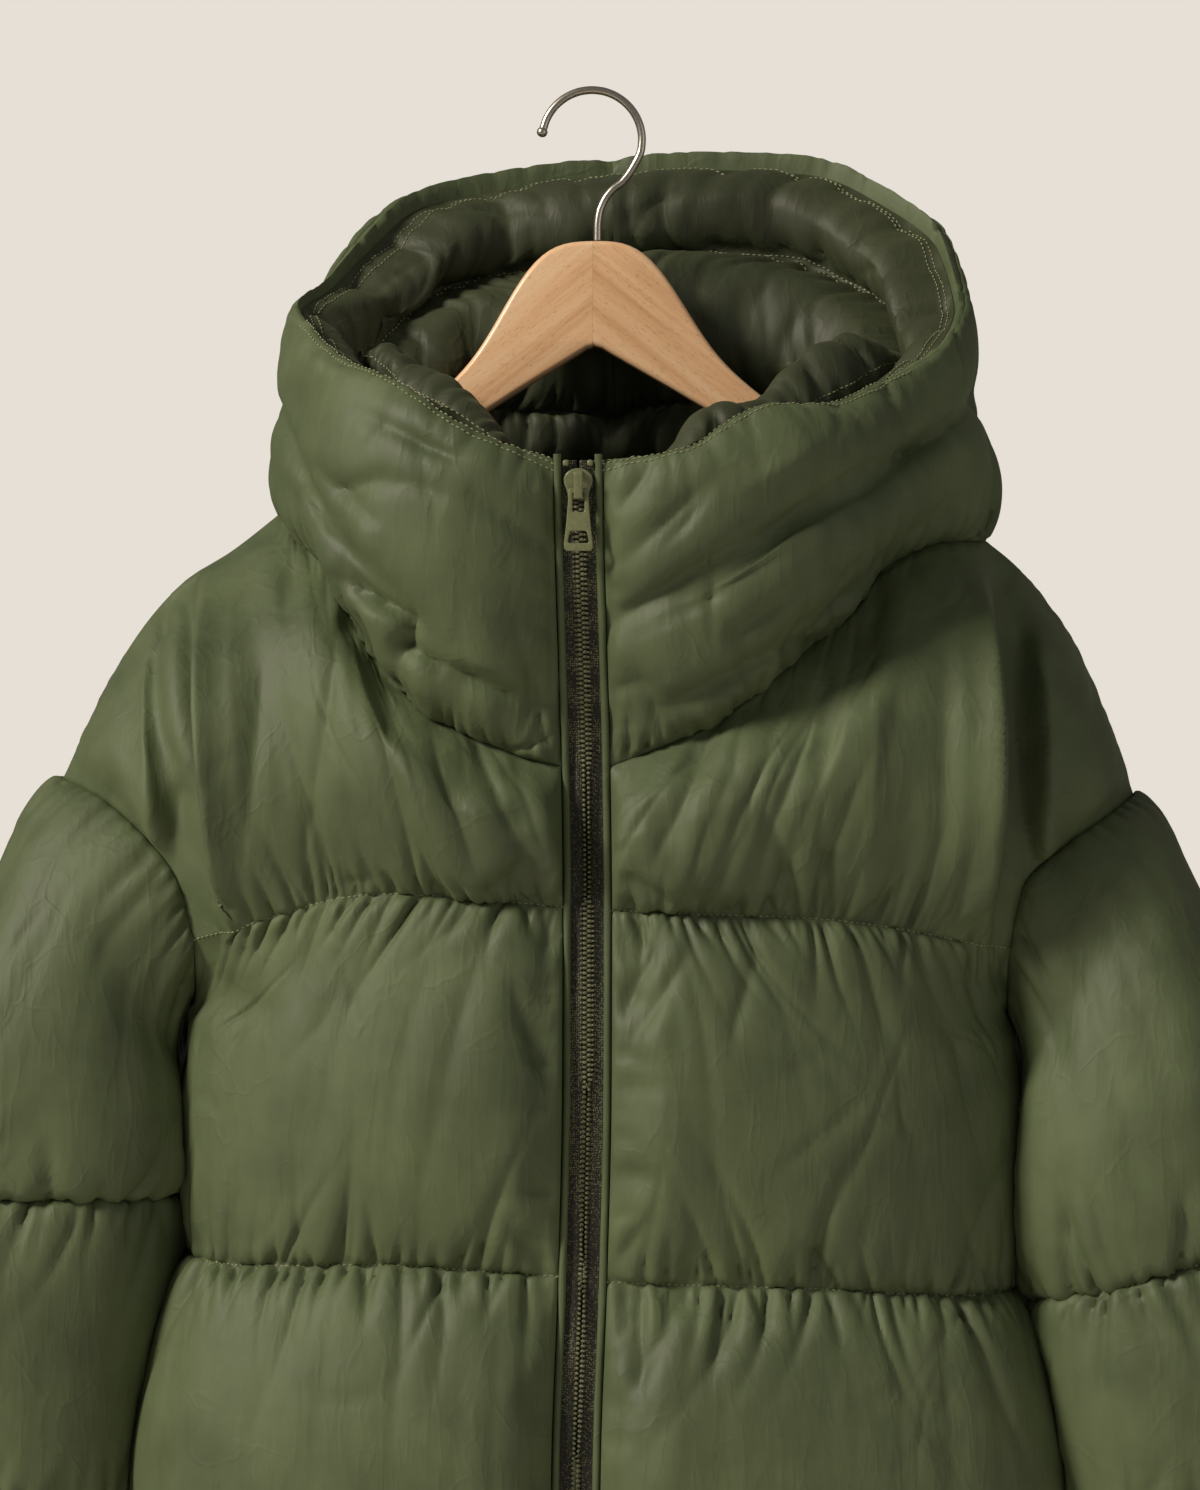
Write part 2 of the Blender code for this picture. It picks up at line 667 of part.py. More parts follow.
def body_reach(side, points):
    """How far out the body's outer skin reaches beside these points."""
    skins = [skins_of(*half_panel(side, front))[0][:, -7:].reshape(-1, 3) for front in (True, False)]
    skin = np.concatenate(skins)
    flat = points.reshape(-1, 3)
    away = ((flat[:, None, 1:] - skin[None, :, 1:]) ** 2).sum(axis=2)
    nearest = np.argsort(away, axis=1)[:, :5]
    return (np.abs(skin[:, 0])[nearest].max(axis=1)).reshape(points.shape[:-1])


def sleeve_grids(side):
    sign = sign_of(side)
    armpit = CHANNEL_ROWS[0] + ARMPIT_ROWS
    front, _, front_way = half_panel(side, True)
    back, _, back_way = half_panel(side, False)
    loop = np.concatenate([front[: armpit + 1, -1], back[1:armpit, -1][::-1]])
    loop_way = np.concatenate([front_way[: armpit + 1, -1], back_way[1:armpit, -1][::-1]])
    count = len(loop)
    turn = np.linspace(0, 2 * math.pi, count, endpoint=False)
    rings, heights, ways = [loop], [np.zeros(count)], [loop_way]
    for row, (out_x, out_z, in_x, in_z, half_depth, centre_y, quilt) in enumerate(SLEEVE[side]):
        outer = np.array([out_x, centre_y, out_z], float)
        inner = np.array([in_x, centre_y, in_z], float)
        centre, across = (outer + inner) / 2, (outer - inner) / 2
        cos, sin = np.cos(turn)[:, None], np.sin(turn)[:, None]
        flat = np.sign(cos) * np.abs(cos) ** 0.86 * across
        ring = centre + flat - np.sign(sin) * np.abs(sin) ** 0.86 * np.array([0, half_depth, 0])
        keep_loop = max(0.0, 0.55 - 0.3 * row)
        ring = (1 - keep_loop) * ring + keep_loop * (loop + centre - loop.mean(axis=0))
        way = unit(cos * across / (across @ across) ** 0.5 - sin * np.array([0, 1.0, 0]))
        if row == 0:
            way = unit(way + loop_way)
        pressed = 0.45 + 0.55 * (1 + np.cos(turn - 0.35)) / 2
        gather = GATHER_DEPTH * (np.arange(count) % 2) * (0 < quilt < 0.5)
        rings.append(ring)
        heights.append(SLEEVE_PUFF * quilt * pressed - gather * 0.6 * (quilt > 0))
        ways.append(way)
    grid, height, way = np.array(rings), np.maximum(np.array(heights), 0), np.array(ways)
    outer = grid + way * (SKIN_OUT + height)[..., None]
    inner = grid - way * SKIN_IN
    limit = body_reach(side, outer) + SLEEVE_CLEARANCE
    below = outer[..., 2] < loop[:, 2].min() + 16
    below[0] = False
    tight = below & (sign * outer[..., 0] < limit)
    outer[..., 0] = np.where(tight, sign * limit, outer[..., 0])
    thin = below & (sign * (inner[..., 0] - outer[..., 0]) < 2.6) & (np.cos(turn) < 0)[None, :]
    inner[..., 0] = np.where(thin, outer[..., 0] + sign * 2.6, inner[..., 0])
    low = ((1 - np.cos(turn)) / 2) ** 6
    shift = SEAM_GAP * (1 + 3 * low)[:, None] * unit(np.array([0.45 * sign, 0, -0.9]))
    outer[0] += shift
    inner[0] += shift
    return outer, inner


def make_sleeve(side, material, cuff_material):
    outer, inner = sleeve_grids(side)
    wall(f"sleeve_{side}", outer, inner, material, closed=True)
    edge = (outer[-1] + inner[-1]) / 2
    centre = edge.mean(axis=0)
    ring = centre + (edge - centre) * 0.965
    drop = np.array([sign_of(side) * -1.5, 0, -1.0])
    levels = np.array([0.4, 3.4, CUFF_LENGTH - 3, CUFF_LENGTH])
    rise = np.array([0.9, CUFF_RISE, CUFF_RISE, 0.9])
    away = unit((edge - centre) * np.array([1, 1, 0]))
    skins = []
    for way in (1, -0.55):
        rows = []
        for level, height in zip(levels, rise):
            row = ring + away * height * way
            row[:, 2] = ring[:, 2] - level
            row[:, 0] += drop[0] * level / CUFF_LENGTH
            rows.append(row)
        skins.append(np.array(rows))
    return wall(f"cuff_{side}", skins[0], skins[1], cuff_material, closed=True)


# ------------------------------------------------------------------ the hood


def hood_lines(side):
    """The neck seam and the rim of half the hood, and the outward direction at each column."""
    front, back = neck_and_shoulder(side, True), neck_and_shoulder(side, False)
    neck = np.concatenate([front[: NECK_COLUMNS + 1], back[:BACK_NECK_COLUMNS][::-1]])
    share = np.concatenate(
        [np.linspace(0, 0.5, NECK_COLUMNS + 1), np.linspace(0.5, 1, BACK_NECK_COLUMNS + 1)[1:]]
    )
    table = np.array(RIM[side])
    rim = smooth(table[:, 0], table[:, 1:], share)
    rim[0, 0], rim[0, 1] = zip_edge(side, rim[0, 2])[0], zip_edge(side, rim[0, 2])[1]
    out = neck_direction(neck)
    out[0] = (0, -1, 0)
    out[-1] = (0, 1, 0)
    return share, neck, rim, out


def hood_outer_grids(side, rows=9):
    share, neck, rim, out = hood_lines(side)
    bulge, lift = np.moveaxis(smooth(*split(HOOD_BULGE), share), -1, 0)
    t = centred(rows)[:, None]
    up = np.array([0, 0, 1.0])
    flat = neck + (rim - neck) * t[..., None]
    flat[:, 0, :2] = zip_edge(side, flat[:, 0, 2])[:, :2]
    swell = np.sin(math.pi * t**0.85) ** 0.72 * bulge * (1 - 0.5 * np.exp(-((t / 0.08) ** 2)))
    for s0, t0, s1, t1, depth, width in HOOD_FOLDS[side]:
        swell = swell - depth * crease(share[None, :], t, s0, t0, s1, t1, width)
    swell = np.maximum(swell, 0)
    rise = lift * np.exp(-(((t - 0.88) / 0.13) ** 2)) * (t < 1)
    outer = flat + out * (SKIN_OUT + swell)[..., None] + up * rise[..., None]
    outer[-1] = rim
    return outer, hood_core(side, 1 - t[:, 0])


def split(table):
    table = np.array(table, float)
    return table[:, 0], table[:, 1:]


def crease(s, t, s0, t0, s1, t1, width):
    """1 on the line between two points of a panel, falling to 0 at this width from it."""
    dx, dy = s1 - s0, t1 - t0
    along_line = np.clip(((s - s0) * dx + (t - t0) * dy) / (dx * dx + dy * dy), 0, 1)
    away = np.hypot(s - s0 - along_line * dx, t - t0 - along_line * dy)
    return np.exp(-((away / width) ** 2)) * (1 - 0.5 * np.abs(2 * along_line - 1) ** 3)


def arm_top(x):
    """Height of the hanger's upper edge at this x, with the hanger's tilt."""
    table = np.array(HANGER_TOP)
    level = smooth(table[:, 0], table[:, 1], np.abs(x - HANGER_PIVOT[0]))
    return level + math.tan(HANGER_TILT) * (x - HANGER_PIVOT[0])


def hood_inner_grids(side):
    share, neck, rim, out = hood_lines(side)
    up = np.array([0, 0, 1.0])
    inward = -out.copy()
    toward = np.array([HOOD_AXIS[0], HOOD_AXIS[1]]) - rim[:, :2]
    inward[:, :2] = unit(0.5 * unit(toward) + 0.5 * inward[:, :2])
    inward[0] = (0, 1, 0)
    inward[-1] = (0, -1, 0)
    table = smooth(*split(HOOD_INSIDE[side]), share)
    stations = [rim]
    for k in range(6):
        step_in, step_down = table[:, 2 * k], table[:, 2 * k + 1]
        stations.append(rim + inward * step_in[:, None] - up * step_down[:, None])
    stations.append(neck - out * 6.5 + up)
    skin = rolled(stations, HOOD_INSIDE_STRETCHES)
    u = np.linspace(0, 1, len(skin))
    near_arm = np.clip((30 - np.abs(skin[..., 1])) / 8, 0, 1) * (np.abs(skin[..., 0]) > 70)
    floor = arm_top(skin[..., 0]) + 1.2
    lifted = np.maximum(skin[..., 2], floor)
    skin[..., 2] = skin[..., 2] * (1 - near_arm) + lifted * near_arm
    hidden = hood_core(side, u)
    keep_behind(side, skin, hidden, out)
    skin[:, 0, 0] = zip_edge(side, skin[:, 0, 2])[:, 0]
    skin[1:, 0, 1] = np.maximum(skin[1:, 0, 1], zip_edge(side, skin[1:, 0, 2])[:, 1] + SKIN_IN + 5.0)
    skin -= out * 2 * SEAM_GAP
    apart = 4 * SEAM_GAP + 1.2 * np.sin(math.pi * u)
    return skin, hidden - out * apart[:, None, None]


def keep_behind(side, skin, hidden, out):
    """Moves the inside of the hood inwards wherever it would come closer than HOOD_WALL to the plain core."""
    top, foot = hidden[0], hidden[-1]
    level = np.clip((top[:, 2] - skin[..., 2]) / (top[:, 2] - foot[:, 2]), 0, 1)[..., None]
    behind = ((top + (foot - top) * level - skin) * out)[..., :2].sum(axis=2)
    skin[1:-1] -= out * np.maximum(HOOD_WALL - behind, 0)[1:-1, :, None]
    sign = sign_of(side)
    for i in range(1, len(skin) - 1):
        for j in range(1, 5):
            level = np.clip((top[:8, 2] - skin[i, j, 2]) / (top[:8, 2] - foot[:8, 2]), 0, 1)[:, None]
            line = top[:8] + (foot[:8] - top[:8]) * level
            front = np.interp(sign * skin[i, j, 0], sign * line[:, 0], line[:, 1])
            skin[i, j, 1] = max(skin[i, j, 1], front + HOOD_WALL)


def rolled(stations, counts):
    """Rows through the stations of a profile. Each stretch turns like a quarter of a roll."""
    rows = [stations[0]]
    for number, (count, level_first) in enumerate(counts):
        start, end = stations[number], stations[number + 1]
        for turn in np.linspace(0, math.pi / 2, count + 1)[1:]:
            quick, slow = math.sin(turn), 1 - math.cos(turn)
            level, fall = (quick, slow) if level_first else (slow, quick)
            row = start + (end - start) * level
            row[:, 2] = start[:, 2] + (end[:, 2] - start[:, 2]) * fall
            rows.append(row)
    return np.array(rows)


def hood_core(side, t):
    """The plain surface between the hood's two sides, from the rim (0) down to the neck seam (1)."""
    share, neck, rim, out = hood_lines(side)
    foot = neck - out * SKIN_IN
    core = rim - out * SKIN_IN
    core = core + RIM_HEIGHT * unit(foot - core)
    grid = core + (foot - core) * np.asarray(t)[:, None, None]
    edge = zip_edge(side, grid[:, 0, 2])
    grid[:, 0, 0] = edge[:, 0]
    grid[:, 0, 1] = np.maximum(grid[:, 0, 1], edge[:, 1] + SKIN_IN)
    return grid


def make_hood(side, outer_material, inner_material):
    outer, hidden = hood_outer_grids(side)
    raised = np.array([0, 0, 4 * SEAM_GAP])
    outer[0] += raised
    hidden[0] += raised
    for grid in (outer, hidden):
        grid[:, -1, 0] += SEAM_GAP * sign_of(side)
    wall(f"hood_outer_{side}", outer, hidden, outer_material)
    skin, hidden = hood_inner_grids(side)
    skin[-1] += raised
    hidden[-1] += raised
    for grid in (skin, hidden):
        grid[:, -1, 0] += SEAM_GAP * sign_of(side)
    wall(f"hood_inner_{side}", skin, hidden, inner_material)


# ------------------------------------------------------------------ the zip


def strip(name, x_in, x_out, y_front, y_back, z_top, z_bottom, material, sides=None):
    """A straight-sided band that follows the zip's line, from x_in to x_out off it."""
    z = np.linspace(z_top, z_bottom, ZIP_STEPS + 1)
    x, y = zip_line(z)
    skins = []
    for depth, inset in ((y_front, sides or 0.0), (y_back, 0.0)):
        left = np.stack([x + x_in + inset, y + depth, z], axis=-1)
        right = np.stack([x + x_out - inset, y + depth, z], axis=-1)
        skins.append(np.stack([left, right], axis=1))
    return wall(name, skins[0], skins[1], material)


def rounded_welt(name, side, material):
    z = np.linspace(ZIP_TOP + 3, HEM_Z, ZIP_STEPS + 1)
    x, y = zip_line(z)
    sign = sign_of(side)
    middle = (WELT_IN + WELT_OUT) / 2
    profile = [(WELT_IN, 0.0), (WELT_IN + 0.6, -2.6), (middle, -3.6), (WELT_OUT - 0.6, -2.6), (WELT_OUT, 0.0)]
    front = np.stack([np.stack([x + sign * a, y + b, z], axis=-1) for a, b in profile], axis=1)
    back = front.copy()
    back[..., 1] = (y + 1.4)[:, None]
    return wall(name, front, back, material)


def box_object(name, size, location, material, bevel):
    bpy.ops.mesh.primitive_cube_add(size=1)
    obj = bpy.context.object
    obj.name = name
    obj.data.transform(obj.matrix_world)
    for vertex in obj.data.vertices:
        vertex.co = [c * s * MM for c, s in zip(vertex.co, size)]
    obj.location = [c * MM for c in location]
    settle(obj, material)
    if bevel:
        round_edges(obj, bevel, 2)
    return obj


def settle(obj, material):
    for collection in list(obj.users_collection):
        collection.objects.unlink(obj)
    PARTS.objects.link(obj)
    obj.data.materials.clear()
    obj.data.materials.append(material)


def round_edges(obj, width, segments):
    modifier = obj.modifiers.new("rounded", "BEVEL")
    modifier.width = width * MM
    modifier.segments = segments
    modifier.limit_method = "ANGLE"
    modifier.angle_limit = math.radians(40)


def combine(obj, cutter, operation):
    for collection in list(cutter.users_collection):
        collection.objects.unlink(cutter)
    CUTTERS.objects.link(cutter)
    cutter.hide_render = True
    cutter.display_type = "WIRE"
    modifier = obj.modifiers.new(operation.lower() + " " + cutter.name, "BOOLEAN")
    modifier.operation = operation
    modifier.object = cutter


def outline_object(name, outlines, thick, material, bevel=0.0):
    """A flat plate from outlines in x and z, the first with the rest cut out, centred on y = 0."""
    curve = bpy.data.curves.new(name, "CURVE")
    curve.dimensions = "2D"
    curve.fill_mode = "BOTH"
    curve.extrude = (thick / 2 - bevel) * MM
    curve.bevel_depth = bevel * MM
    curve.offset = -bevel * MM
    curve.bevel_resolution = 1
    for points in outlines:
        spline = curve.splines.new("POLY")
        spline.points.add(len(points) - 1)
        for point, (x, z) in zip(spline.points, points):
            point.co = (x * MM, z * MM, 0, 1)
        spline.use_cyclic_u = True
    source = bpy.data.objects.new(name + "_outline", curve)
    bpy.context.scene.collection.objects.link(source)
    source.rotation_euler = (math.pi / 2, 0, 0)
    bpy.context.view_layer.update()
    data = bpy.data.meshes.new_from_object(source.evaluated_get(bpy.context.evaluated_depsgraph_get()))
    data.transform(source.matrix_world)
    bpy.data.objects.remove(source)
    mesh = bmesh.new()
    mesh.from_mesh(data)
    bmesh.ops.remove_doubles(mesh, verts=mesh.verts, dist=0.00001)
    bmesh.ops.recalc_face_normals(mesh, faces=mesh.faces)
    mesh.to_mesh(data)
    mesh.free()
    data.name = name
    return add_object(name, data, material, math.radians(40))


# ------------------------------------------------------------------ the hanger


def hanger_outline(side):
    """Half of the hanger's outline, with a rounded end, turned by the hanger's tilt."""
    sign = sign_of(side)
    table = np.array(HANGER_TOP)
    upper = table[:, :2]
    lower = table[:, [0, 2]]
    end = (upper[-1] + lower[-1]) / 2
    radius = np.linalg.norm(upper[-1] - lower[-1]) / 2
    down = unit(lower[-1] - upper[-1])
    ahead = np.array([-down[1], down[0]])
    tip = []
    for a in np.linspace(0, math.pi, 7)[1:-1]:
        tip.append(end - down * radius * math.cos(a) + ahead * radius * math.sin(a) * 0.8)
    points = np.concatenate([upper, tip, lower[::-1]])
    points[0, 0] = points[-1, 0] = SEAM_GAP + 0.02
    shape = []
    for x, z in points:
        dx, dz = sign * x, z - HANGER_PIVOT[1]
        turned_x = dx * math.cos(HANGER_TILT) - dz * math.sin(HANGER_TILT)
        turned_z = dx * math.sin(HANGER_TILT) + dz * math.cos(HANGER_TILT)
        shape.append((HANGER_PIVOT[0] + turned_x, HANGER_PIVOT[1] + turned_z))
    return shape


def hook_points():
    """The wire's centre line: from the ball tip over the circle, then an S down to the wood."""
    cx, cz = HOOK_CENTRE
    circle = []
    for degrees in np.arange(167, -31, -11):
        a = math.radians(degrees)
        circle.append((cx + HOOK_RADIUS * math.cos(a), cz + HOOK_RADIUS * math.sin(a)))
    return circle[:-1] + HOOK_BEND


def make_hook(material):
    points = hook_points()
    curve = bpy.data.curves.new("hanger_hook", "CURVE")
    curve.dimensions = "3D"
    curve.bevel_depth = HOOK_WIRE * MM
    curve.bevel_resolution = 2
    curve.use_fill_caps = True
    x0, z0 = points[0]
    x1, z1 = points[1]
    step = np.array([x0 - x1, z0 - z1])
    step = step / np.linalg.norm(step)
    ball = [(x0 + step[0] * d, z0 + step[1] * d, r) for d, r in HOOK_BALL]
    rows = ball + [(x, z, 1.0) for x, z in points[1:]]
    spline = curve.splines.new("POLY")
    spline.points.add(len(rows) - 1)
    for point, (x, z, radius) in zip(spline.points, rows):
        point.co = (x * MM, 0, z * MM, 1)
        point.radius = radius
    obj = bpy.data.objects.new("hanger_hook", curve)
    obj.data.materials.append(material)
    PARTS.objects.link(obj)
    return obj


# ------------------------------------------------------------------ assembly


def clear_scene():
    for obj in list(bpy.data.objects):
        bpy.data.objects.remove(obj)


def make_collections():
    parts = bpy.data.collections.new("puffer_coat")
    cutters = bpy.data.collections.new("cutters")
    for collection in (parts, cutters):
        bpy.context.scene.collection.children.link(collection)
    return parts, cutters


def make_zip(materials):
    bottom = HEM_Z
    strip("zip_tape_left", -TAPE_HALF, -TEETH_HALF - 0.3, -0.8, 0.4, ZIP_TOP, bottom, materials["tape"])
    strip("zip_tape_right", TEETH_HALF + 0.3, TAPE_HALF, -0.8, 0.4, ZIP_TOP, bottom, materials["tape"])
    strip("zip_chain", -TEETH_HALF, TEETH_HALF, -1.9, 0.8, ZIP_TOP - 4, bottom, materials["teeth"], 0.5)
    for side in ("left", "right"):
        rounded_welt(f"welt_{side}", side, materials["shell"])
        x, y = (float(v) for v in zip_line(ZIP_TOP - 1.4))
        place = (x + sign_of(side) * 6.2, y - 2.3, ZIP_TOP - 1.4)
        box_object(f"zip_stop_{side}", (2.8, 1.8, 2.8), place, materials["metal"], 0)
    make_slider(materials["metal"])
    make_pull(materials["metal"])


def make_slider(material):
    """The slider's plate with its bridge, tilted to lie along the zip."""
    x, y = (float(v) for v in zip_line(SLIDER_Z))
    place = (x, y - SLIDER_OFF, SLIDER_Z)
    plate = box_object("zip_slider", SLIDER_SIZE, place, material, 0.7)
    half = SLIDER_SIZE[1] / 2
    reach = half + BRIDGE_CLEAR + BRIDGE_THICK
    inner = half + BRIDGE_CLEAR
    low = BRIDGE_HALF - BRIDGE_THICK
    arch = [
        (0.3 - half, BRIDGE_HALF), (-reach + 1.6, BRIDGE_HALF), (-reach, BRIDGE_HALF - 1.6),
        (-reach, -BRIDGE_HALF + 1.6), (-reach + 1.6, -BRIDGE_HALF), (0.3 - half, -BRIDGE_HALF),
        (0.3 - half, -low), (-inner + 0.8, -low), (-inner, -low + 0.8),
        (-inner, low - 0.8), (-inner + 0.8, low), (0.3 - half, low),
    ]
    bridge = outline_object("zip_slider_bridge", [arch], BRIDGE_WIDTH, material)
    bridge.data.transform(Matrix.Rotation(math.pi / 2, 4, "Z"))
    bridge.location = plate.location
    top, bottom = (float(zip_line(SLIDER_Z + d)[1]) for d in (8, -8))
    for obj in (plate, bridge):
        obj.rotation_euler = (math.atan2(bottom - top, 16), 0, 0)
    combine(plate, bridge, "UNION")


def mirrored(points):
    """A closed outline from its right half, listed from top to bottom."""
    return list(points) + [(-x, z) for x, z in reversed(points)]


def make_pull(material):
    """The pull tab, hanging from its hinge, with its origin on the hinge's axis."""
    x, y = (float(v) for v in zip_line(PIVOT_Z))
    outlines = [mirrored(points) for points in (PULL_OUTLINE, PULL_SLOT, PULL_HOLE)]
    pull = outline_object("zip_pull", outlines, PULL_THICK, material)
    axis_y = y - SLIDER_OFF - SLIDER_SIZE[1] / 2 - BRIDGE_CLEAR / 2
    pull.location = (x * MM, axis_y * MM, PIVOT_Z * MM)


def build():
    materials = {
        "shell": make_material("olive_nylon", (0.34, 0.38, 0.24), 0.55),
        "inside": make_material("olive_nylon_inside", (0.30, 0.34, 0.21), 0.6),
        "tape": make_material("olive_zip_tape", (0.24, 0.27, 0.18), 0.8),
        "teeth": make_material("olive_moulded_teeth", (0.45, 0.46, 0.34), 0.5),
        "metal": make_material("olive_painted_zinc", (0.42, 0.45, 0.33), 0.4),
        "beech": make_material("varnished_beech", (0.85, 0.64, 0.45), 0.4),
        "steel": make_material("satin_steel", (0.72, 0.70, 0.67), 0.3, 1.0),
    }
    for side in ("left", "right"):
        make_front(side, materials["shell"])
        make_sleeve(side, materials["shell"], materials["shell"])
        make_hood(side, materials["shell"], materials["inside"])
        arm = [hanger_outline(side)]
        outline_object(f"hanger_arm_{side}", arm, HANGER_THICK, materials["beech"], HANGER_EDGE)
    make_back(materials["shell"])
    make_hook(materials["steel"])
    make_zip(materials)


clear_scene()
PARTS, CUTTERS = make_collections()
build()
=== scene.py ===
"""A long hooded puffer coat on a wooden hanger, laid out as a Blender add-on and run as a script.

The frame holds the plain solids. This script sews the puffed cloth with its puckers, the zip, the
stitching, the hanger and the stage round them. Tables are in millimetres and in the frame's axes:
x across the coat, y towards its back, z up, with the origin where the hook hangs.
"""

import math

import bmesh
import bpy
import numpy as np
from mathutils import Matrix, Vector
from mathutils.kdtree import KDTree


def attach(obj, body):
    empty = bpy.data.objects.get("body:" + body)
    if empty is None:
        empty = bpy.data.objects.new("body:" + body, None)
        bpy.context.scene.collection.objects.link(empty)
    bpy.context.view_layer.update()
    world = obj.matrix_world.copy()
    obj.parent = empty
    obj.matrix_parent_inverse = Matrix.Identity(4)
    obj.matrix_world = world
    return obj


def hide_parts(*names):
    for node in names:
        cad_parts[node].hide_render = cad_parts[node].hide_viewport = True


bl_info = {
    "name": "Puffer coat on a hanger",
    "version": (1, 0, 0),
    "blender": (4, 5, 0),
    "location": "3D View > Sidebar > Coat",
    "description": "Makes a long puffer coat, its zip and its wooden hanger round a fixed frame",
    "category": "Object",
}

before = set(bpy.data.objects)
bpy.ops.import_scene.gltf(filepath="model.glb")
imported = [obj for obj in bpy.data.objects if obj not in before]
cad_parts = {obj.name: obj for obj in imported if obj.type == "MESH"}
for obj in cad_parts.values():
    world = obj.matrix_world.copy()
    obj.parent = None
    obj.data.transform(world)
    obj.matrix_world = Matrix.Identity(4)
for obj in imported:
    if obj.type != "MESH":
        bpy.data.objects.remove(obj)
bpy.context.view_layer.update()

MM = 0.001
SIDES = ("left", "right")
SEAM_GAP = 0.2          # each piece stops this far short of a seam line
SIDE_GAP = 0.03         # and this far short of the seam that it shares with the next body panel
MITRE_GAP = 0.03        # each arm of the hanger stops this far short of the other
HOOD_MIDDLE_GAP = 0.02  # each half of the hood stops this far short of the other
SKIN_IN = 1.8           # the inner skin lies this far inside the seam surface
SKIN_OUT = 1.2          # the outer skin lies at least this far outside it

# Points of the cloth, before each space between them is halved.
NECK_COLUMNS = 62       # from the zip to the high shoulder point
SHOULDER_COLUMNS = 36   # from there to the sleeve
BACK_NECK_COLUMNS = 42  # from the high shoulder point to the centre back
CHANNEL_ROWS = (40, 34, 32, 32, 32, 20)
ARMPIT_ROWS = 12        # rows of the second channel that lie on the armhole
ARMPIT_ROW = CHANNEL_ROWS[0] + ARMPIT_ROWS
HOOD_ROWS = 36
SLEEVE_ROWS = (30, 26, 16)

# Puffing of the channels.
PUFF_SHAPE = 0.62       # power of the sine across a channel: lower is squarer
FRONT_PUFF = 25.0
SIDE_PUFF = 6.5
BACK_PUFF = 20.0
SLEEVE_PUFF = 13.0
SHOULDER_RISE = {"left": 2.0, "right": 11.0}  # the back panel's swell above the shoulder seam
CENTRE_BACK_X = 4.0
HEM_SQUARE = 14         # the hem turns square this near its edge
ARMPIT_SOFT = 55        # the filling thins within this distance of the armpit

# Gathers. A strength for the top edge, each quilt line and the lower edge of a piece.
BODY_GATHER = (0.12, 1, 1, 1, 1, 1, 0.8)
SLEEVE_GATHER = (0.6, 1, 1, 1)
CUFF_GATHER = (0.3, 0.3, 0.3)
GATHER_REACH = 34.0     # the gathers' longest reach from a seam
LEAST_WALL = 2.0        # thickness that no gather takes away
DEEPEST = 0.6           # the deepest valley as a share of the thickness beyond that
STEADY_FRAMES = 20      # frames that the filling takes to come to rest

# The front opening. The zip's centre line wanders a little; x and front depth by height.
ZIP_LINE = [
    # z, x, depth
    (-205, -7.0, 149),
    (-260, -6.0, 137),
    (-310, -4.6, 124),
    (-369, -3.0, 111),
    (-441, -2.2, 110),
    (-535, -2.4, 114),
    (-634, -4.6, 110),
    (-730, -8.0, 116),
    (-826, -9.0, 116),
    (-1018, -8.0, 122),
    (-1210, -7.0, 126),
    (-1345, -6.0, 128),
]
PANEL_EDGE = 12.9       # from the zip's centre line to the front panels
HEM_Z = -1345

# Seam lines, from the zip towards the side. Each row is a point x, y, z.
NECK_SEAM = {
    "left": [
        (-16, -111, -369), (-34, -111, -365), (-49, -111, -359), (-78, -108, -345.5),
        (-89, -104, -338), (-105, -96, -322), (-120, -84, -301), (-128, -74, -285),
        (-136, -61, -268), (-145, -49, -258), (-158, -30, -246), (-170, 0, -231),
    ],
    "right": [
        (10, -111, -369), (34, -111, -360), (57, -109, -350), (76, -104, -338),
        (90, -98, -328), (110, -86, -310), (128, -72, -295), (141, -58, -282),
        (151, -47, -268), (166, -34, -257), (190, -22, -248), (215, 0, -246),
    ],
}
BACK_NECK_SEAM = {
    # from the centre back to the high shoulder point
    "left": [(12, 82, -212), (-50, 80, -212), (-110, 68, -215), (-150, 44, -220), (-170, 0, -231)],
    "right": [(12, 82, -212), (70, 80, -213), (140, 70, -220), (192, 44, -232), (215, 0, -246)],
}
SHOULDER_SEAM = {
    "left": [
        (-170, 0, -231), (-197, 0, -252), (-222, 0, -268),
        (-243, 0, -290), (-266, 0, -326), (-290, 0, -377),
    ],
    "right": [
        (215, 0, -246), (232, 0, -260), (250, 0, -281),
        (268, 0, -310), (283, 0, -345), (297, 0, -386),
    ],
}
FRONT_ARMHOLE = {
    # from the shoulder tip to the armpit
    "left": [(-290, 0, -377), (-266, -32, -387), (-238, -54, -408), (-220, -62, -431), (-212, -60, -461),
             (-214, -35, -489), (-221, 0, -501)],
    "right": [(297, 0, -386), (276, -34, -398), (250, -54, -414), (230, -60, -433), (223, -58, -466),
              (224, -35, -497), (232, 0, -511)],
}
QUILT_END = 4           # the first quilt line meets the armhole at this row
BACK_ARMHOLE = {
    "left": [(-290, 0, -377), (-268, 34, -384), (-244, 56, -406), (-228, 64, -432), (-220, 60, -462),
             (-217, 36, -490), (-221, 0, -501)],
    "right": [(297, 0, -386), (278, 36, -392), (254, 58, -414), (238, 64, -438), (231, 60, -470),
              (228, 36, -500), (232, 0, -511)],
}
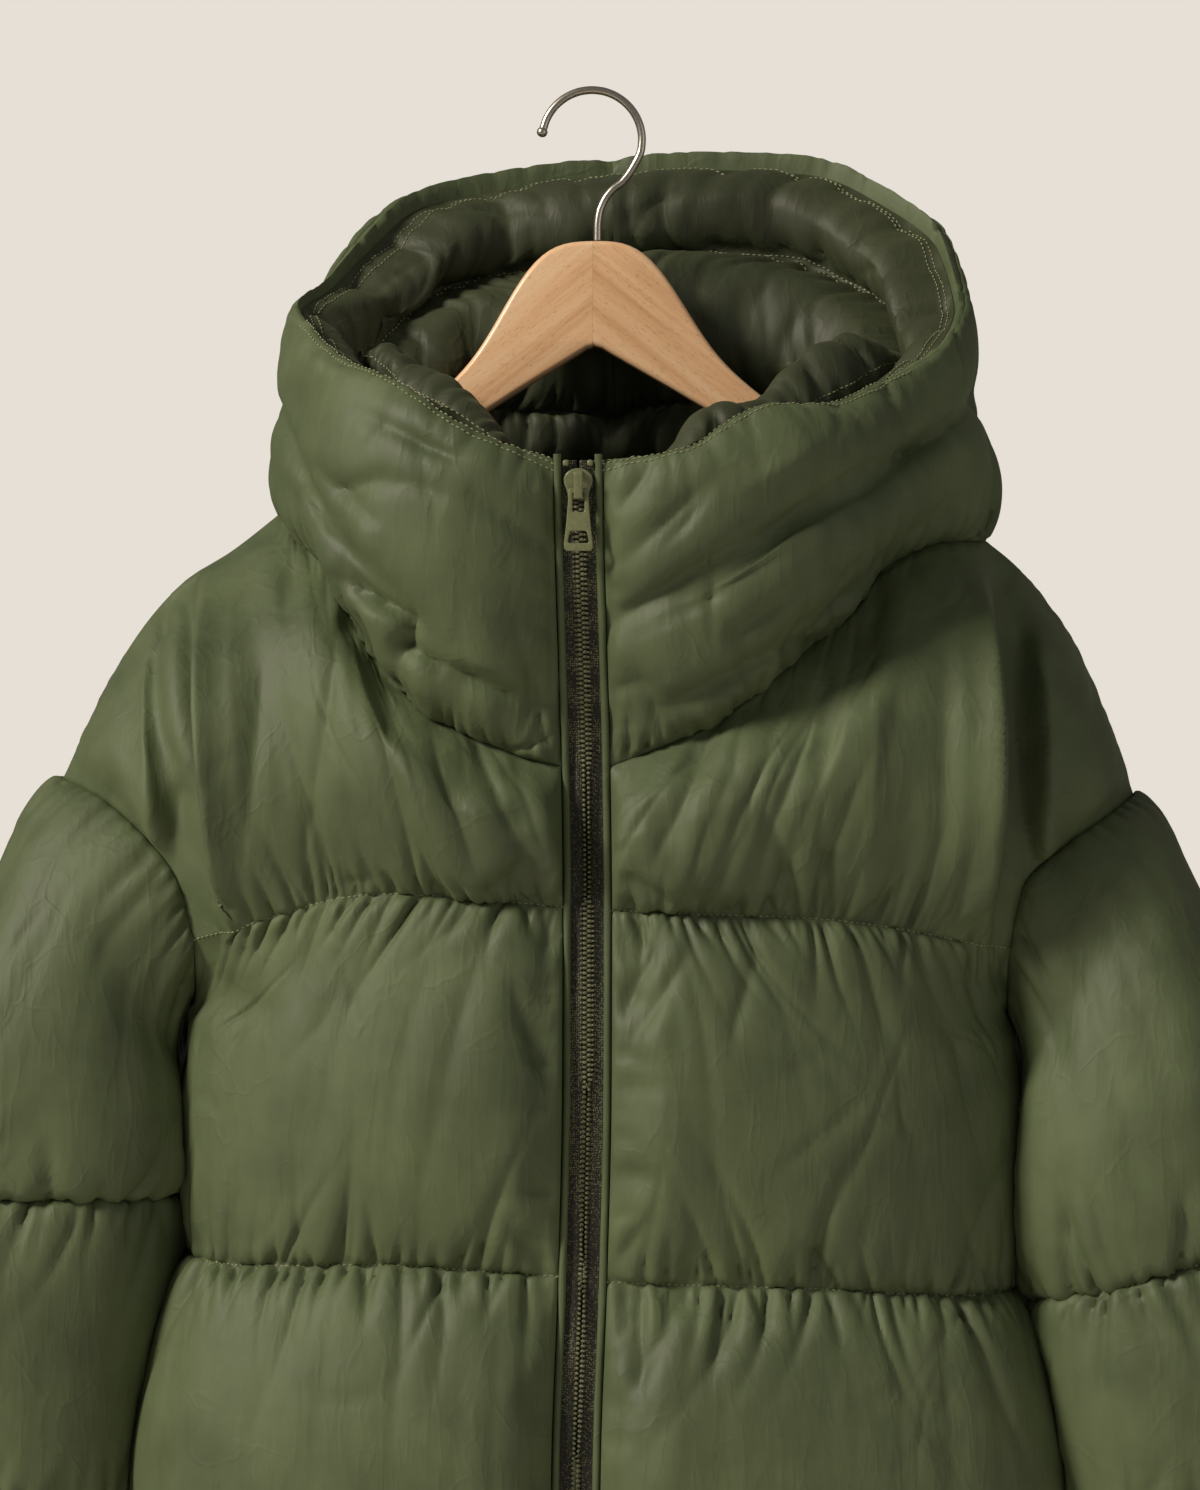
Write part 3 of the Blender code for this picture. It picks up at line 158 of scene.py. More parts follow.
QUILT_LINES = {
    # height at the zip, middle and side, half-width and back depth at the seam
    "left": [
        # zip_z, mid_z, side_z, side_x, back_depth
        (-442, -436, -461, 212, 84),
        (-634, -629, -634, 216, 86),
        (-826, -822, -828, 240, 90),
        (-1018, -1016, -1022, 252, 96),
        (-1210, -1209, -1214, 262, 100),
        (HEM_Z, HEM_Z, HEM_Z, 268, 102),
    ],
    "right": [
        (-444, -448, -466, 223, 84),
        (-637, -641, -652, 228, 86),
        (-829, -832, -838, 248, 90),
        (-1020, -1022, -1028, 258, 96),
        (-1211, -1212, -1216, 266, 100),
        (HEM_Z, HEM_Z, HEM_Z, 270, 102),
    ],
}
SIDE_TOP = {"left": (-213, 0, -522), "right": (224, 0, -532)}

# The deep fold from the shoulder to the armpit, where the sleeve's head hangs off the hanger.
SHOULDER_FOLD = {
    "left": [(-290, -235), (-330, -230), (-372, -222), (-400, -214), (-440, -198)],
    "right": [(-290, 226), (-330, 223), (-372, 222), (-420, 221), (-460, 220)],
}
SHOULDER_FOLD_DEPTH = 12.0
SHOULDER_FOLD_WIDTH = 13.0
SLEEVE_WALL = 2.6       # least thickness of a sleeve where the body presses on it

# The hood. Share of the way from the zip (0) past the side (0.5) to the centre back (1).
RIM = {
    "left": [
        # share, x, y, z
        (0.00, -19, -147, -213),
        (0.12, -59, -148, -199),
        (0.20, -96, -131, -174),
        (0.28, -126, -101, -158),
        (0.36, -147, -64, -138),
        (0.43, -157, -30, -122),
        (0.50, -145, 2, -108),
        (0.62, -125, 34, -82),
        (0.72, -98, 62, -54),
        (0.82, -64, 80, -43),
        (0.91, -28, 87, -36),
        (1.00, 12, 90, -31),
    ],
    "right": [
        (0.00, 6, -147, -213),
        (0.12, 47, -149, -208),
        (0.20, 84, -141, -187),
        (0.28, 119, -122, -183),
        (0.36, 154, -94, -167),
        (0.43, 187, -52, -143),
        (0.50, 198, -14, -118),
        (0.61, 193, 28, -82),
        (0.71, 164, 60, -52),
        (0.81, 124, 80, -32),
        (0.90, 66, 88, -28),
        (1.00, 12, 90, -31),
    ],
}
RIM_HEIGHT = 15.0       # height of the sewn edge that the two sides of the hood share at the rim
HOOD_WALL = 5.0         # least thickness of the hood's inner side
HOOD_AXIS = (12, -22)   # the inside slopes towards this line
HOOD_BULGE = [
    # share, outward bulge of the outer side, lift behind the rim
    (0.00, 3, 0), (0.10, 18, 2), (0.25, 22, 5), (0.40, 11, 8),
    (0.50, 9, 12), (0.70, 22, 20), (1.00, 26, 22),
]
HOOD_FOLDS = {
    # share and height share at each end of a fold, depth, width
    "left": [(0.02, 0.20, 0.26, 0.42, 7, 0.07), (0.26, 0.42, 0.47, 0.60, 6, 0.07)],
    "right": [
        (0.03, 0.46, 0.34, 0.62, 8, 0.07),
        (0.34, 0.62, 0.50, 0.62, 7, 0.08),
        (0.03, 0.14, 0.30, 0.20, 5, 0.06),
    ],
}
HOOD_INSIDE = {
    # distances in from the rim, and down from it, of the rim roll, the hollow under it, the crest,
    # the belly and the foot of the inner roll, and the low bulge of the neck
    "left": [
        # share, roll, down, hollow, down, crest, down, belly, down, foot, down, low, down
        (0.00, 5, 10, 5, 24, 6, 40, 7, 62, 7, 90, 7, 120),
        (0.12, 20, 9, 24, 16, 40, 4, 52, 24, 44, 64, 36, 100),
        (0.25, 27, 11, 32, 20, 50, 0, 66, 24, 54, 58, 40, 86),
        (0.38, 29, 14, 34, 26, 46, 8, 60, 32, 44, 60, 30, 80),
        (0.44, 28, 15, 31, 30, 40, 22, 50, 42, 32, 68, 14, 88),
        (0.50, 26, 16, 20, 34, 28, 38, 38, 54, 20, 78, -2, 98),
        (0.65, 36, 20, 18, 42, 40, 44, 54, 68, 36, 104, 18, 128),
        (0.80, 38, 24, 20, 48, 48, 52, 67, 84, 46, 126, 52, 146),
        (1.00, 38, 26, 20, 50, 52, 54, 73, 86, 50, 144, 62, 160),
    ],
    "right": [
        (0.00, 5, 10, 5, 24, 6, 40, 7, 62, 7, 90, 7, 120),
        (0.12, 18, 9, 20, 16, 38, -1, 50, 22, 44, 64, 36, 100),
        (0.25, 26, 11, 31, 18, 48, -9, 60, 20, 52, 58, 40, 86),
        (0.38, 30, 12, 36, 24, 56, -13, 72, 22, 58, 58, 40, 78),
        (0.44, 31, 13, 34, 28, 54, -4, 70, 30, 52, 66, 28, 92),
        (0.50, 32, 15, 26, 34, 48, 22, 62, 48, 42, 76, 14, 104),
        (0.65, 38, 20, 18, 44, 46, 46, 66, 74, 48, 112, 34, 134),
        (0.80, 38, 24, 20, 50, 52, 52, 69, 86, 50, 134, 54, 154),
        (1.00, 38, 26, 20, 50, 52, 54, 73, 86, 50, 144, 62, 160),
    ],
}
# Rows of each stretch of that profile, and whether it starts level (1) or steep (0).
HOOD_INSIDE_STRETCHES = ((8, 1), (5, 0), (6, 0), (8, 1), (7, 0), (5, 1), (5, 0))

# Sleeves: points on the outer and the inner edge seen from the front, half depth and centre depth.
SLEEVE_SEAMS = (5, 11, 15)  # rows of the table at the two quilt lines and the cuff
SLEEVE = {
    "left": [
        # out_x, out_z, in_x, in_z, half_depth, centre_y
        (-305, -404, -228, -520, 65, -1),
        (-325, -450, -223, -542, 67, -3),
        (-350, -508, -222, -565, 69, -6),
        (-369, -558, -223, -586, 68, -8),
        (-379, -585, -228, -597, 66, -9),
        (-381, -597, -231, -601, 65, -9),
        (-386, -611, -233, -614, 65, -9),
        (-395, -640, -238, -645, 67, -10),
        (-399, -679, -244, -682, 68, -10),
        (-400, -718, -248, -722, 66, -11),
        (-398, -746, -253, -749, 64, -12),
        (-397, -758, -254, -761, 63, -12),
        (-398, -771, -256, -774, 63, -12),
        (-400, -806, -262, -808, 62, -13),
        (-396, -842, -268, -844, 57, -14),
        (-388, -870, -278, -871, 48, -15),
    ],
    "right": [
        (312, -414, 236, -528, 65, -5),
        (329, -456, 233, -550, 67, -12),
        (352, -514, 233, -584, 69, -20),
        (371, -566, 236, -622, 68, -24),
        (382, -596, 243, -645, 66, -25),
        (384, -608, 246, -655, 65, -25),
        (388, -622, 248, -668, 65, -25),
        (396, -655, 251, -694, 67, -26),
        (401, -695, 255, -722, 68, -26),
        (402, -733, 259, -752, 66, -26),
        (401, -760, 263, -774, 64, -26),
        (400, -772, 264, -785, 63, -26),
        (401, -785, 266, -797, 63, -26),
        (402, -815, 271, -822, 62, -26),
        (397, -846, 277, -850, 57, -26),
        (389, -872, 286, -874, 48, -26),
    ],
}
CUFF_LENGTH = 34.0
CUFF_RISE = 3.2
SLEEVE_CLEARANCE = 1.4  # between a sleeve and the side of the body

# Hanger.
HANGER_TOP = [
    # distance from the mitre, height of the upper edge, height of the lower edge
    (0, -81, -138),
    (20, -82, -150),
    (35, -94, -159),
    (45, -108, -165),
    (53, -124, -170),
    (63, -141, -176),
    (74, -153.3, -182),
    (90, -167, -192),
    (112, -185, -207),
    (135, -205, -226),
    (150, -220.5, -242),
    (165, -235, -258),
    (185, -249, -275),
    (205, -263, -290),
    (220, -273, -302),
]
HANGER_THICK = 13.0
HANGER_EDGE = 3.0       # radius of the rounded edges
HANGER_TILT = math.radians(1.0)
HANGER_PIVOT = (0.4, -81.0)
HOOK_WIRE = 2.2         # radius
ROD_SIDES = 20          # faces round the wire
CORNER_STEPS = 4        # straight pieces in each rounded corner of a plate
HOOK_CENTRE = (0.0, -25.3)
HOOK_RADIUS = 27.5
HOOK_BEND = [
    # x, z
    (22.6, -40.2), (16.5, -48.5), (11.0, -52.8), (6.5, -59.0),
    (3.9, -66.0), (3.1, -73.0), (3.0, -80.4),
]
HOOK_BALL = [
    # distance beyond the wire's end, radius as a share of the wire's
    (4.6, 0.35), (4.0, 0.95), (2.6, 1.32), (1.2, 1.34), (0.0, 1.0),
]

# Zip.
TAPE_START = 0.7        # from the zip's centre line to each tape
TAPE_STEPS = 240
TAPE_PROFILE = (
    # depth across the tape behind the zip's line, in front and at the back
    (-0.5, -0.9, -1.1, -0.9, -0.35, -0.5, -0.5, -0.3, 0.3),
    (0.0, -0.2, -0.4, -0.2, 0.3, 0.2, 0.2, 0.4, 0.9),
)
TOOTH_ROW = (1.15, -1.5)  # from the zip's line to the middle of a side's teeth
WELT_IN = 8.5
WELT_OUT = 12.5
ZIP_TOP = -213.0
SLIDER_Z = -225.0       # centre of the slider
SLIDER_THICK = 2.0
SLIDER_OUTLINE = [
    # x, z from the slider's middle, right half from top to bottom
    (1.4, 8.0), (4.2, 7.1), (6.4, 5.4), (7.5, 2.8), (7.2, 0.0), (5.8, -3.2), (5.1, -7.4), (4.5, -8.0),
]
SLIDER_OFF = 3.3        # from the zip's line forward to the middle of the slider's plate
BRIDGE_WIDTH = 4.6
BRIDGE_CLEAR = 3.5      # between the plate and the bridge
BRIDGE_THICK = 1.5
BRIDGE_HALF = 7.0       # half its height
STOP_DROP = 1.4         # from the zip's top down to the middle of its stops
STOP_SIZE = (1.6, 1.1, 1.6)
PIVOT_Z = -228.5        # axis of the pull tab's hinge
PULL_THICK = 1.8
PULL_OUTLINE = [
    # x, z from the hinge's axis, right half from top to bottom
    (3.6, 1.2), (4.6, 0.9), (5.1, 0.0), (5.3, -6.0),
    (6.3, -18.0), (7.4, -27.5), (7.3, -29.6), (6.0, -30.8),
]
PULL_SLOT = [(2.4, -1.2), (3.1, -1.8), (3.1, -10.2), (2.4, -11.0)]
PULL_HOLE = [(3.6, -20.6), (4.3, -21.2), (5.4, -25.9), (4.9, -26.8)]

# Folds seen from the front: a ridge where the rise is positive, else a valley. The first four of
# each front are the deep fold where the dropped shoulder hangs off the hanger, and its ridges.
FRONT_FOLDS = {
    "left": [
        # x, z at one end, x, z at the other, rise, width
        (-226, -240, -206, -480, -34, 7),
        (-210, -262, -188, -462, 18, 9),
        (-192, -270, -174, -450, 7, 16),
        (-241, -290, -230, -440, 9, 8),
        (-172, -316, -180, -424, -4, 6),
        (-132, -300, -150, -420, -3.5, 5),
        (-112, -330, -92, -425, -3.5, 6),
        (-84, -344, -58, -428, -4.5, 6),
        (-62, -352, -30, -424, -3.5, 5),
        (-100, -352, -76, -428, 2.5, 8),
        (-40, -365, -22, -420, -3, 5),
        (-44, -474, -16, -540, -4, 6),
        (-48, -600, -18, -636, -4, 6),
    ],
    "right": [
        (226, -244, 222, -476, -34, 7),
        (209, -266, 205, -462, 18, 9),
        (193, -270, 189, -450, 7, 16),
        (241, -292, 240, -446, 12, 8),
        (124, -318, 84, -430, -5, 7),
        (100, -336, 62, -432, -3.5, 6),
        (150, -300, 142, -430, 3.5, 10),
        (184, -300, 182, -436, -3.5, 7),
        (62, -350, 30, -424, -3.5, 5),
        (52, -462, 16, -516, -4, 5),
        (40, -452, 12, -500, -4, 5),
        (86, -464, 70, -516, -3, 5),
        (50, -640, 12, -700, -4, 6),
        (30, -600, 12, -630, -3.5, 5),
    ],
}
HOOD_FOLDS_FRONT = {
    "left": [
        (-152, -206, -104, -246, -6, 5),
        (-137, -228, -98, -221, -5, 4),
        (-118, -232, -106, -262, 3.5, 7),
        (-136, -268, -84, -295, -9, 5),
        (-130, -278, -84, -304, 4, 6),
        (-88, -290, -98, -314, -7, 4),
        (-102, -301, -74, -319, -8, 4),
        (-80, -315, -36, -333, -8, 4),
        (-70, -306, -30, -320, 4, 7),
        (-64, -228, -20, -262, -4.5, 5),
        (-120, -186, -70, -214, -3.5, 5),
    ],
    "right": [
        (14, -291, 100, -241, -9, 5),
        (84, -250, 140, -216, -10, 5),
        (124, -225, 188, -190, -10, 6),
        (60, -278, 130, -236, 4.5, 9),
        (40, -334, 114, -300, -8, 5),
        (100, -309, 164, -250, -8, 5),
        (150, -262, 204, -216, -8, 6),
        (20, -262, 60, -224, -5, 5),
        (70, -232, 120, -200, 4, 9),
        (14, -240, 34, -212, -4, 5),
        (66, -304, 98, -282, -4.5, 4),
    ],
}
SLEEVE_FOLDS = {
    # share round from the top, channel and share down it, at each end, then rise and width
    "left": [(0.10, 0.25, 0.30, 0.85, -4.0, 0.06), (0.22, 0.15, 0.42, 0.70, 3.5, 0.06)],
    "right": [(0.12, 0.20, 0.32, 0.80, -4.0, 0.06), (0.30, 0.10, 0.44, 0.60, 3.5, 0.06)],
}

# Stage, in metres.
CAMERA_PLACE = (0.0044, -2.0, -0.358)
LIT_POINT = (0, 0, -0.5)
FILL_SHARE = 0.02       # power of the fill light as a share of the key light's


# ------------------------------------------------------------------ curves and surfaces


def smooth(xs, ys, q):
    """The monotone cubic through ys at xs, read at q. ys may hold several columns."""
    xs = np.asarray(xs, float)
    ys = np.asarray(ys, float)
    q = np.asarray(q, float)
    columns = ys.reshape(len(xs), -1)
    width = np.diff(xs)[:, None]
    slope = np.diff(columns, axis=0) / width
    before, after = slope[:-1], slope[1:]
    agree = before * after > 0
    total = np.where(agree, before + after, 1.0)
    middle = np.where(agree, 2 * before * after / total, 0.0)
    tangent = np.vstack([slope[:1], middle, slope[-1:]])
    i = np.clip(np.searchsorted(xs, q, side="right") - 1, 0, len(xs) - 2)
    t = np.clip((q - xs[i]) / (xs[i + 1] - xs[i]), 0, 1)[..., None]
    h = width[i]
    result = (
        (2 * t**3 - 3 * t**2 + 1) * columns[i]
        + (t**3 - 2 * t**2 + t) * h * tangent[i]
        + (3 * t**2 - 2 * t**3) * columns[i + 1]
        + (t**3 - t**2) * h * tangent[i + 1]
    )
    return result.reshape(q.shape + ys.shape[1:])


def along(points, shares):
    """Points at these shares of the length of a smooth line through points."""
    points = np.asarray(points, float)
    steps = np.linalg.norm(np.diff(points, axis=0), axis=1)
    at = np.concatenate([[0], np.cumsum(steps)]) / steps.sum()
    return smooth(at, points, shares)


def zip_line(z):
    """x of the zip's centre line and the front's y at this height."""
    table = np.array(ZIP_LINE)[::-1]
    x, depth = np.moveaxis(smooth(table[:, 0], table[:, 1:], z), -1, 0)
    return x, -depth


def centred(count):
    """count + 1 shares from 0 to 1, closer together at both ends."""
    even = np.linspace(0, 1, count + 1)
    return 0.35 * even + 0.65 * (1 - np.cos(math.pi * even)) / 2


def sign_of(side):
    """-1 for the left, where x is negative, and 1 for the right."""
    return -1.0 if side == "left" else 1.0


def coons(top, bottom, left, right):
    """The surface spanned by four edge lines, as rows from top to bottom."""
    t = share_of(left, right)[:, None, None]
    s = share_of(top, bottom)[None, :, None]
    across = (1 - s) * left[:, None] + s * right[:, None]
    down = (1 - t) * top[None] + t * bottom[None]
    upper = (1 - s) * top[0] + s * top[-1]
    lower = (1 - s) * bottom[0] + s * bottom[-1]
    return across + down - ((1 - t) * upper + t * lower)


def share_of(one, other):
    """Mean share of length at each point of two facing edges."""
    shares = []
    for line in (one, other):
        steps = np.linalg.norm(np.diff(line, axis=0), axis=1)
        shares.append(np.concatenate([[0], np.cumsum(steps)]) / steps.sum())
    return (shares[0] + shares[1]) / 2


def normals_of(grid, outward):
    """Unit normals of a grid, on the side that outward points to (one vector a point)."""
    down = np.gradient(grid, axis=0)
    across = np.gradient(grid, axis=1)
    normal = np.cross(across, down)
    normal /= np.maximum(np.linalg.norm(normal, axis=2, keepdims=True), 1e-9)
    flip = np.sign((normal * outward).sum(axis=2, keepdims=True))
    return normal * np.where(flip == 0, 1, flip)


def unit(vectors):
    """The vectors at length 1."""
    vectors = np.asarray(vectors, float)
    return vectors / np.maximum(np.linalg.norm(vectors, axis=-1, keepdims=True), 1e-9)


def roundness(distance, reach):
    """Rises from 0 at a seam to 1 at this reach from it, like the side of a cushion."""
    t = np.clip(np.asarray(distance, float) / reach, 0, 1)
    return np.sqrt(1 - (1 - t) ** 2)


def zip_edge(side, z):
    """Points of a front panel's edge beside the zip."""
    z = np.asarray(z, float)
    x, y = zip_line(z)
    return np.stack([x + sign_of(side) * PANEL_EDGE, y, z], axis=-1)


def neck_and_shoulder(side, front):
    """The panel's top edge, from its centre line to the shoulder tip."""
    neck = (NECK_SEAM if front else BACK_NECK_SEAM)[side]
    count = NECK_COLUMNS if front else BACK_NECK_COLUMNS
    first = along(neck, np.linspace(0, 1, count + 1))
    if front:
        first[0] = zip_edge(side, neck[0][2])
    second = along(SHOULDER_SEAM[side], np.linspace(0, 1, SHOULDER_COLUMNS + 1))
    return np.concatenate([first, second[1:]])


def quilt_line(side, number, front):
    """One quilt line across half of the front or back, from the centre line to the side."""
    zip_z, mid_z, side_z, side_x, back_depth = QUILT_LINES[side][number]
    columns = (NECK_COLUMNS if front else BACK_NECK_COLUMNS) + SHOULDER_COLUMNS
    sign = sign_of(side)
    s = np.linspace(0, 1, columns + 1)
    end = np.array((FRONT_ARMHOLE if front else BACK_ARMHOLE)[side][QUILT_END], float)
    if front:
        start = zip_edge(side, zip_z)
    else:
        start = np.array([CENTRE_BACK_X, back_depth, back_z(number)])
        mid_z = (back_z(number) + side_z) / 2
    if number == 0:
        x_share = s
        y_share = 1 - s**3
        end_x, end_y, end_z = end
    else:
        turn = s * math.pi / 2
        x_share = np.sin(turn) ** 0.86
        y_share = np.cos(turn) ** 0.66
        y_share[-1] = 0
        end_x, end_y, end_z = sign * side_x, 0, side_z
    x = start[0] + (end_x - start[0]) * x_share
    y = end_y + (start[1] - end_y) * y_share
    z = smooth([0, 0.45, 1], [start[2], mid_z, end_z], x_share)
    return np.stack([x, y, z], axis=-1)


def back_z(number):
    """Height of a quilt line at the centre back."""
    left, right = QUILT_LINES["left"][number], QUILT_LINES["right"][number]
    return (left[2] + right[2]) / 2 + (14 if number == 0 else 0)


def channel_edges(side, number, front, rows):
    """The centre and the side edge of one channel of half a front or back."""
    shares = centred(rows)
    table = (FRONT_ARMHOLE if front else BACK_ARMHOLE)[side]
    top_line = neck_and_shoulder(side, front) if number == 0 else quilt_line(side, number - 1, front)
    bottom_line = quilt_line(side, number, front)
    top, bottom = top_line[0], bottom_line[0]
    heights = top[2] + (bottom[2] - top[2]) * shares
    if front:
        centre = zip_edge(side, heights)
    else:
        centre = top + (bottom - top) * shares[:, None]
        centre[:, 1] += 6 * np.sin(math.pi * shares) if number == 0 else 0
    if number == 0:
        outer = along(table[: QUILT_END + 1], shares)
    elif number == 1:
        on_armhole = along(table[QUILT_END:], np.linspace(0, 1, ARMPIT_ROWS + 1))
        side_line = [table[-1], SIDE_TOP[side], bottom_line[-1]]
        below = along(side_line, centred(rows - ARMPIT_ROWS))
        outer = np.concatenate([on_armhole, below[1:]])
    else:
        outer = top_line[-1] + (bottom_line[-1] - top_line[-1]) * shares[:, None]
    return top_line, bottom_line, centre, outer, shares


def neck_direction(points):
    """Horizontal directions away from the hood's axis."""
    away = np.zeros_like(points)
    away[:, :2] = points[:, :2] - np.array([HOOD_AXIS[0], HOOD_AXIS[1] + 20])
    away[:, 0] *= 0.8
    return unit(away)


def armhole_direction(side, front, count):
    """Thickness directions round half of the armhole, from the shoulder tip to the armpit."""
    sign = sign_of(side)
    turn = np.linspace(0, math.pi, count)[:, None]
    tip = unit([0.7 * sign, 0, 0.7])
    armpit = np.array([0, 0, 1.0])
    end = np.where(turn < math.pi / 2, tip, armpit)
    return unit(np.cos(turn) * end + np.sin(turn) * np.array([0, -1.0 if front else 1.0, 0]))


def hood_lines(side):
    """The neck seam and the rim of half the hood, and the outward direction at each column."""
    front, back = neck_and_shoulder(side, True), neck_and_shoulder(side, False)
    neck = np.concatenate([front[: NECK_COLUMNS + 1], back[:BACK_NECK_COLUMNS][::-1]])
    share = np.concatenate(
        [np.linspace(0, 0.5, NECK_COLUMNS + 1), np.linspace(0.5, 1, BACK_NECK_COLUMNS + 1)[1:]]
    )
    table = np.array(RIM[side])
    rim = smooth(table[:, 0], table[:, 1:], share)
    rim[0, :2] = zip_edge(side, rim[0, 2])[:2]
    out = neck_direction(neck)
    out[0] = (0, -1, 0)
    out[-1] = (0, 1, 0)
    return share, neck, rim, out


def hood_outer_grids(side):
    """The outside of half the hood, from the neck seam up to the rim, and the core behind it."""
    share, neck, rim, out = hood_lines(side)
    bulge, lift = np.moveaxis(smooth(*split(HOOD_BULGE), share), -1, 0)
    t = centred(HOOD_ROWS)[:, None]
    up = np.array([0, 0, 1.0])
    flat = neck + (rim - neck) * t[..., None]
    flat[:, 0, :2] = zip_edge(side, flat[:, 0, 2])[:, :2]
    swell = np.sin(math.pi * t**0.85) ** 0.72 * bulge * (1 - 0.5 * np.exp(-((t / 0.08) ** 2)))
    for s0, t0, s1, t1, depth, width in HOOD_FOLDS[side]:
        swell = swell - depth * crease(share[None, :], t, s0, t0, s1, t1, width)
    swell = np.maximum(swell, 0)
    rise = lift * np.exp(-(((t - 0.88) / 0.13) ** 2)) * (t < 1)
    outer = flat + out * (SKIN_OUT + swell)[..., None] + up * rise[..., None]
    outer[-1] = rim
    return outer, hood_core(side, 1 - t[:, 0])


def split(table):
    """The first column of a table, and the rest."""
    table = np.array(table, float)
    return table[:, 0], table[:, 1:]


def crease(s, t, s0, t0, s1, t1, width):
    """1 on the line between two points of a panel, falling to 0 at this width from it."""
    dx, dy = s1 - s0, t1 - t0
    along_line = np.clip(((s - s0) * dx + (t - t0) * dy) / (dx * dx + dy * dy), 0, 1)
    away = np.hypot(s - s0 - along_line * dx, t - t0 - along_line * dy)
    return np.exp(-((away / width) ** 2)) * (1 - 0.5 * np.abs(2 * along_line - 1) ** 3)


def arm_top(x):
    """Height of the hanger's upper edge at this x, with the hanger's tilt."""
    table = np.array(HANGER_TOP)
    level = smooth(table[:, 0], table[:, 1], np.abs(x - HANGER_PIVOT[0]))
    return level + math.tan(HANGER_TILT) * (x - HANGER_PIVOT[0])


def hood_inner_grids(side):
    """The inside of half the hood, from the rim over both rolls down, and the core behind it."""
    share, neck, rim, out = hood_lines(side)
    up = np.array([0, 0, 1.0])
    inward = -out.copy()
    toward = np.array(HOOD_AXIS) - rim[:, :2]
    inward[:, :2] = unit(0.5 * unit(toward) + 0.5 * inward[:, :2])
    inward[0] = (0, 1, 0)
    inward[-1] = (0, -1, 0)
    table = smooth(*split(HOOD_INSIDE[side]), share)
    stations = [rim]
    for k in range(6):
        step_in, step_down = table[:, 2 * k], table[:, 2 * k + 1]
        stations.append(rim + inward * step_in[:, None] - up * step_down[:, None])
    stations.append(neck - out * 6.5 + up)
    skin = rolled(stations, HOOD_INSIDE_STRETCHES)
    u = np.linspace(0, 1, len(skin))
    near_arm = np.clip((30 - np.abs(skin[..., 1])) / 8, 0, 1) * (np.abs(skin[..., 0]) > 70)
    floor = arm_top(skin[..., 0]) + 1.2
    lifted = np.maximum(skin[..., 2], floor)
    skin[..., 2] = skin[..., 2] * (1 - near_arm) + lifted * near_arm
    hidden = hood_core(side, u)
    keep_behind(side, skin, hidden, out)
    skin[:, 0, 0] = zip_edge(side, skin[:, 0, 2])[:, 0]
    behind_zip = zip_edge(side, skin[1:, 0, 2])[:, 1] + SKIN_IN + HOOD_WALL
    skin[1:, 0, 1] = np.maximum(skin[1:, 0, 1], behind_zip)
    skin -= out * 2 * SEAM_GAP
    apart = 4 * SEAM_GAP + 1.2 * np.sin(math.pi * u)
    return skin, hidden - out * apart[:, None, None]


def keep_behind(side, skin, hidden, out):
    """Moves the inside of the hood inwards wherever it is closer than HOOD_WALL to the core."""
    top, foot = hidden[0], hidden[-1]
    level = np.clip((top[:, 2] - skin[..., 2]) / (top[:, 2] - foot[:, 2]), 0, 1)[..., None]
    behind = ((top + (foot - top) * level - skin) * out)[..., :2].sum(axis=2)
    skin[1:-1] -= out * np.maximum(HOOD_WALL - behind, 0)[1:-1, :, None]
    sign = sign_of(side)
    top, foot = top[:8], foot[:8]  # beside the zip the core turns, so its nearest columns are searched
    for i in range(1, len(skin) - 1):
        for j in range(1, 5):
            level = np.clip((top[:, 2] - skin[i, j, 2]) / (top[:, 2] - foot[:, 2]), 0, 1)
            line = top + (foot - top) * level[:, None]
            front = np.interp(sign * skin[i, j, 0], sign * line[:, 0], line[:, 1])
            skin[i, j, 1] = max(skin[i, j, 1], front + HOOD_WALL)


def rolled(stations, counts):
    """Rows through the stations of a profile. Each stretch turns like a quarter of a roll."""
    rows = [stations[0]]
    for number, (count, level_first) in enumerate(counts):
        start, end = stations[number], stations[number + 1]
        for turn in np.linspace(0, math.pi / 2, count + 1)[1:]:
            quick, slow = math.sin(turn), 1 - math.cos(turn)
            level, fall = (quick, slow) if level_first else (slow, quick)
            row = start + (end - start) * level
            row[:, 2] = start[:, 2] + (end[:, 2] - start[:, 2]) * fall
            rows.append(row)
    return np.array(rows)


def hood_core(side, t):
    """The plain surface between the hood's two sides, from the rim (0) to the neck seam (1)."""
    _, neck, rim, out = hood_lines(side)
    foot = neck - out * SKIN_IN
    core = rim - out * SKIN_IN
    core = core + RIM_HEIGHT * unit(foot - core)
    grid = core + (foot - core) * np.asarray(t)[:, None, None]
    edge = zip_edge(side, grid[:, 0, 2])
    grid[:, 0, 0] = edge[:, 0]
    grid[:, 0, 1] = np.maximum(grid[:, 0, 1], edge[:, 1] + SKIN_IN)
    return grid


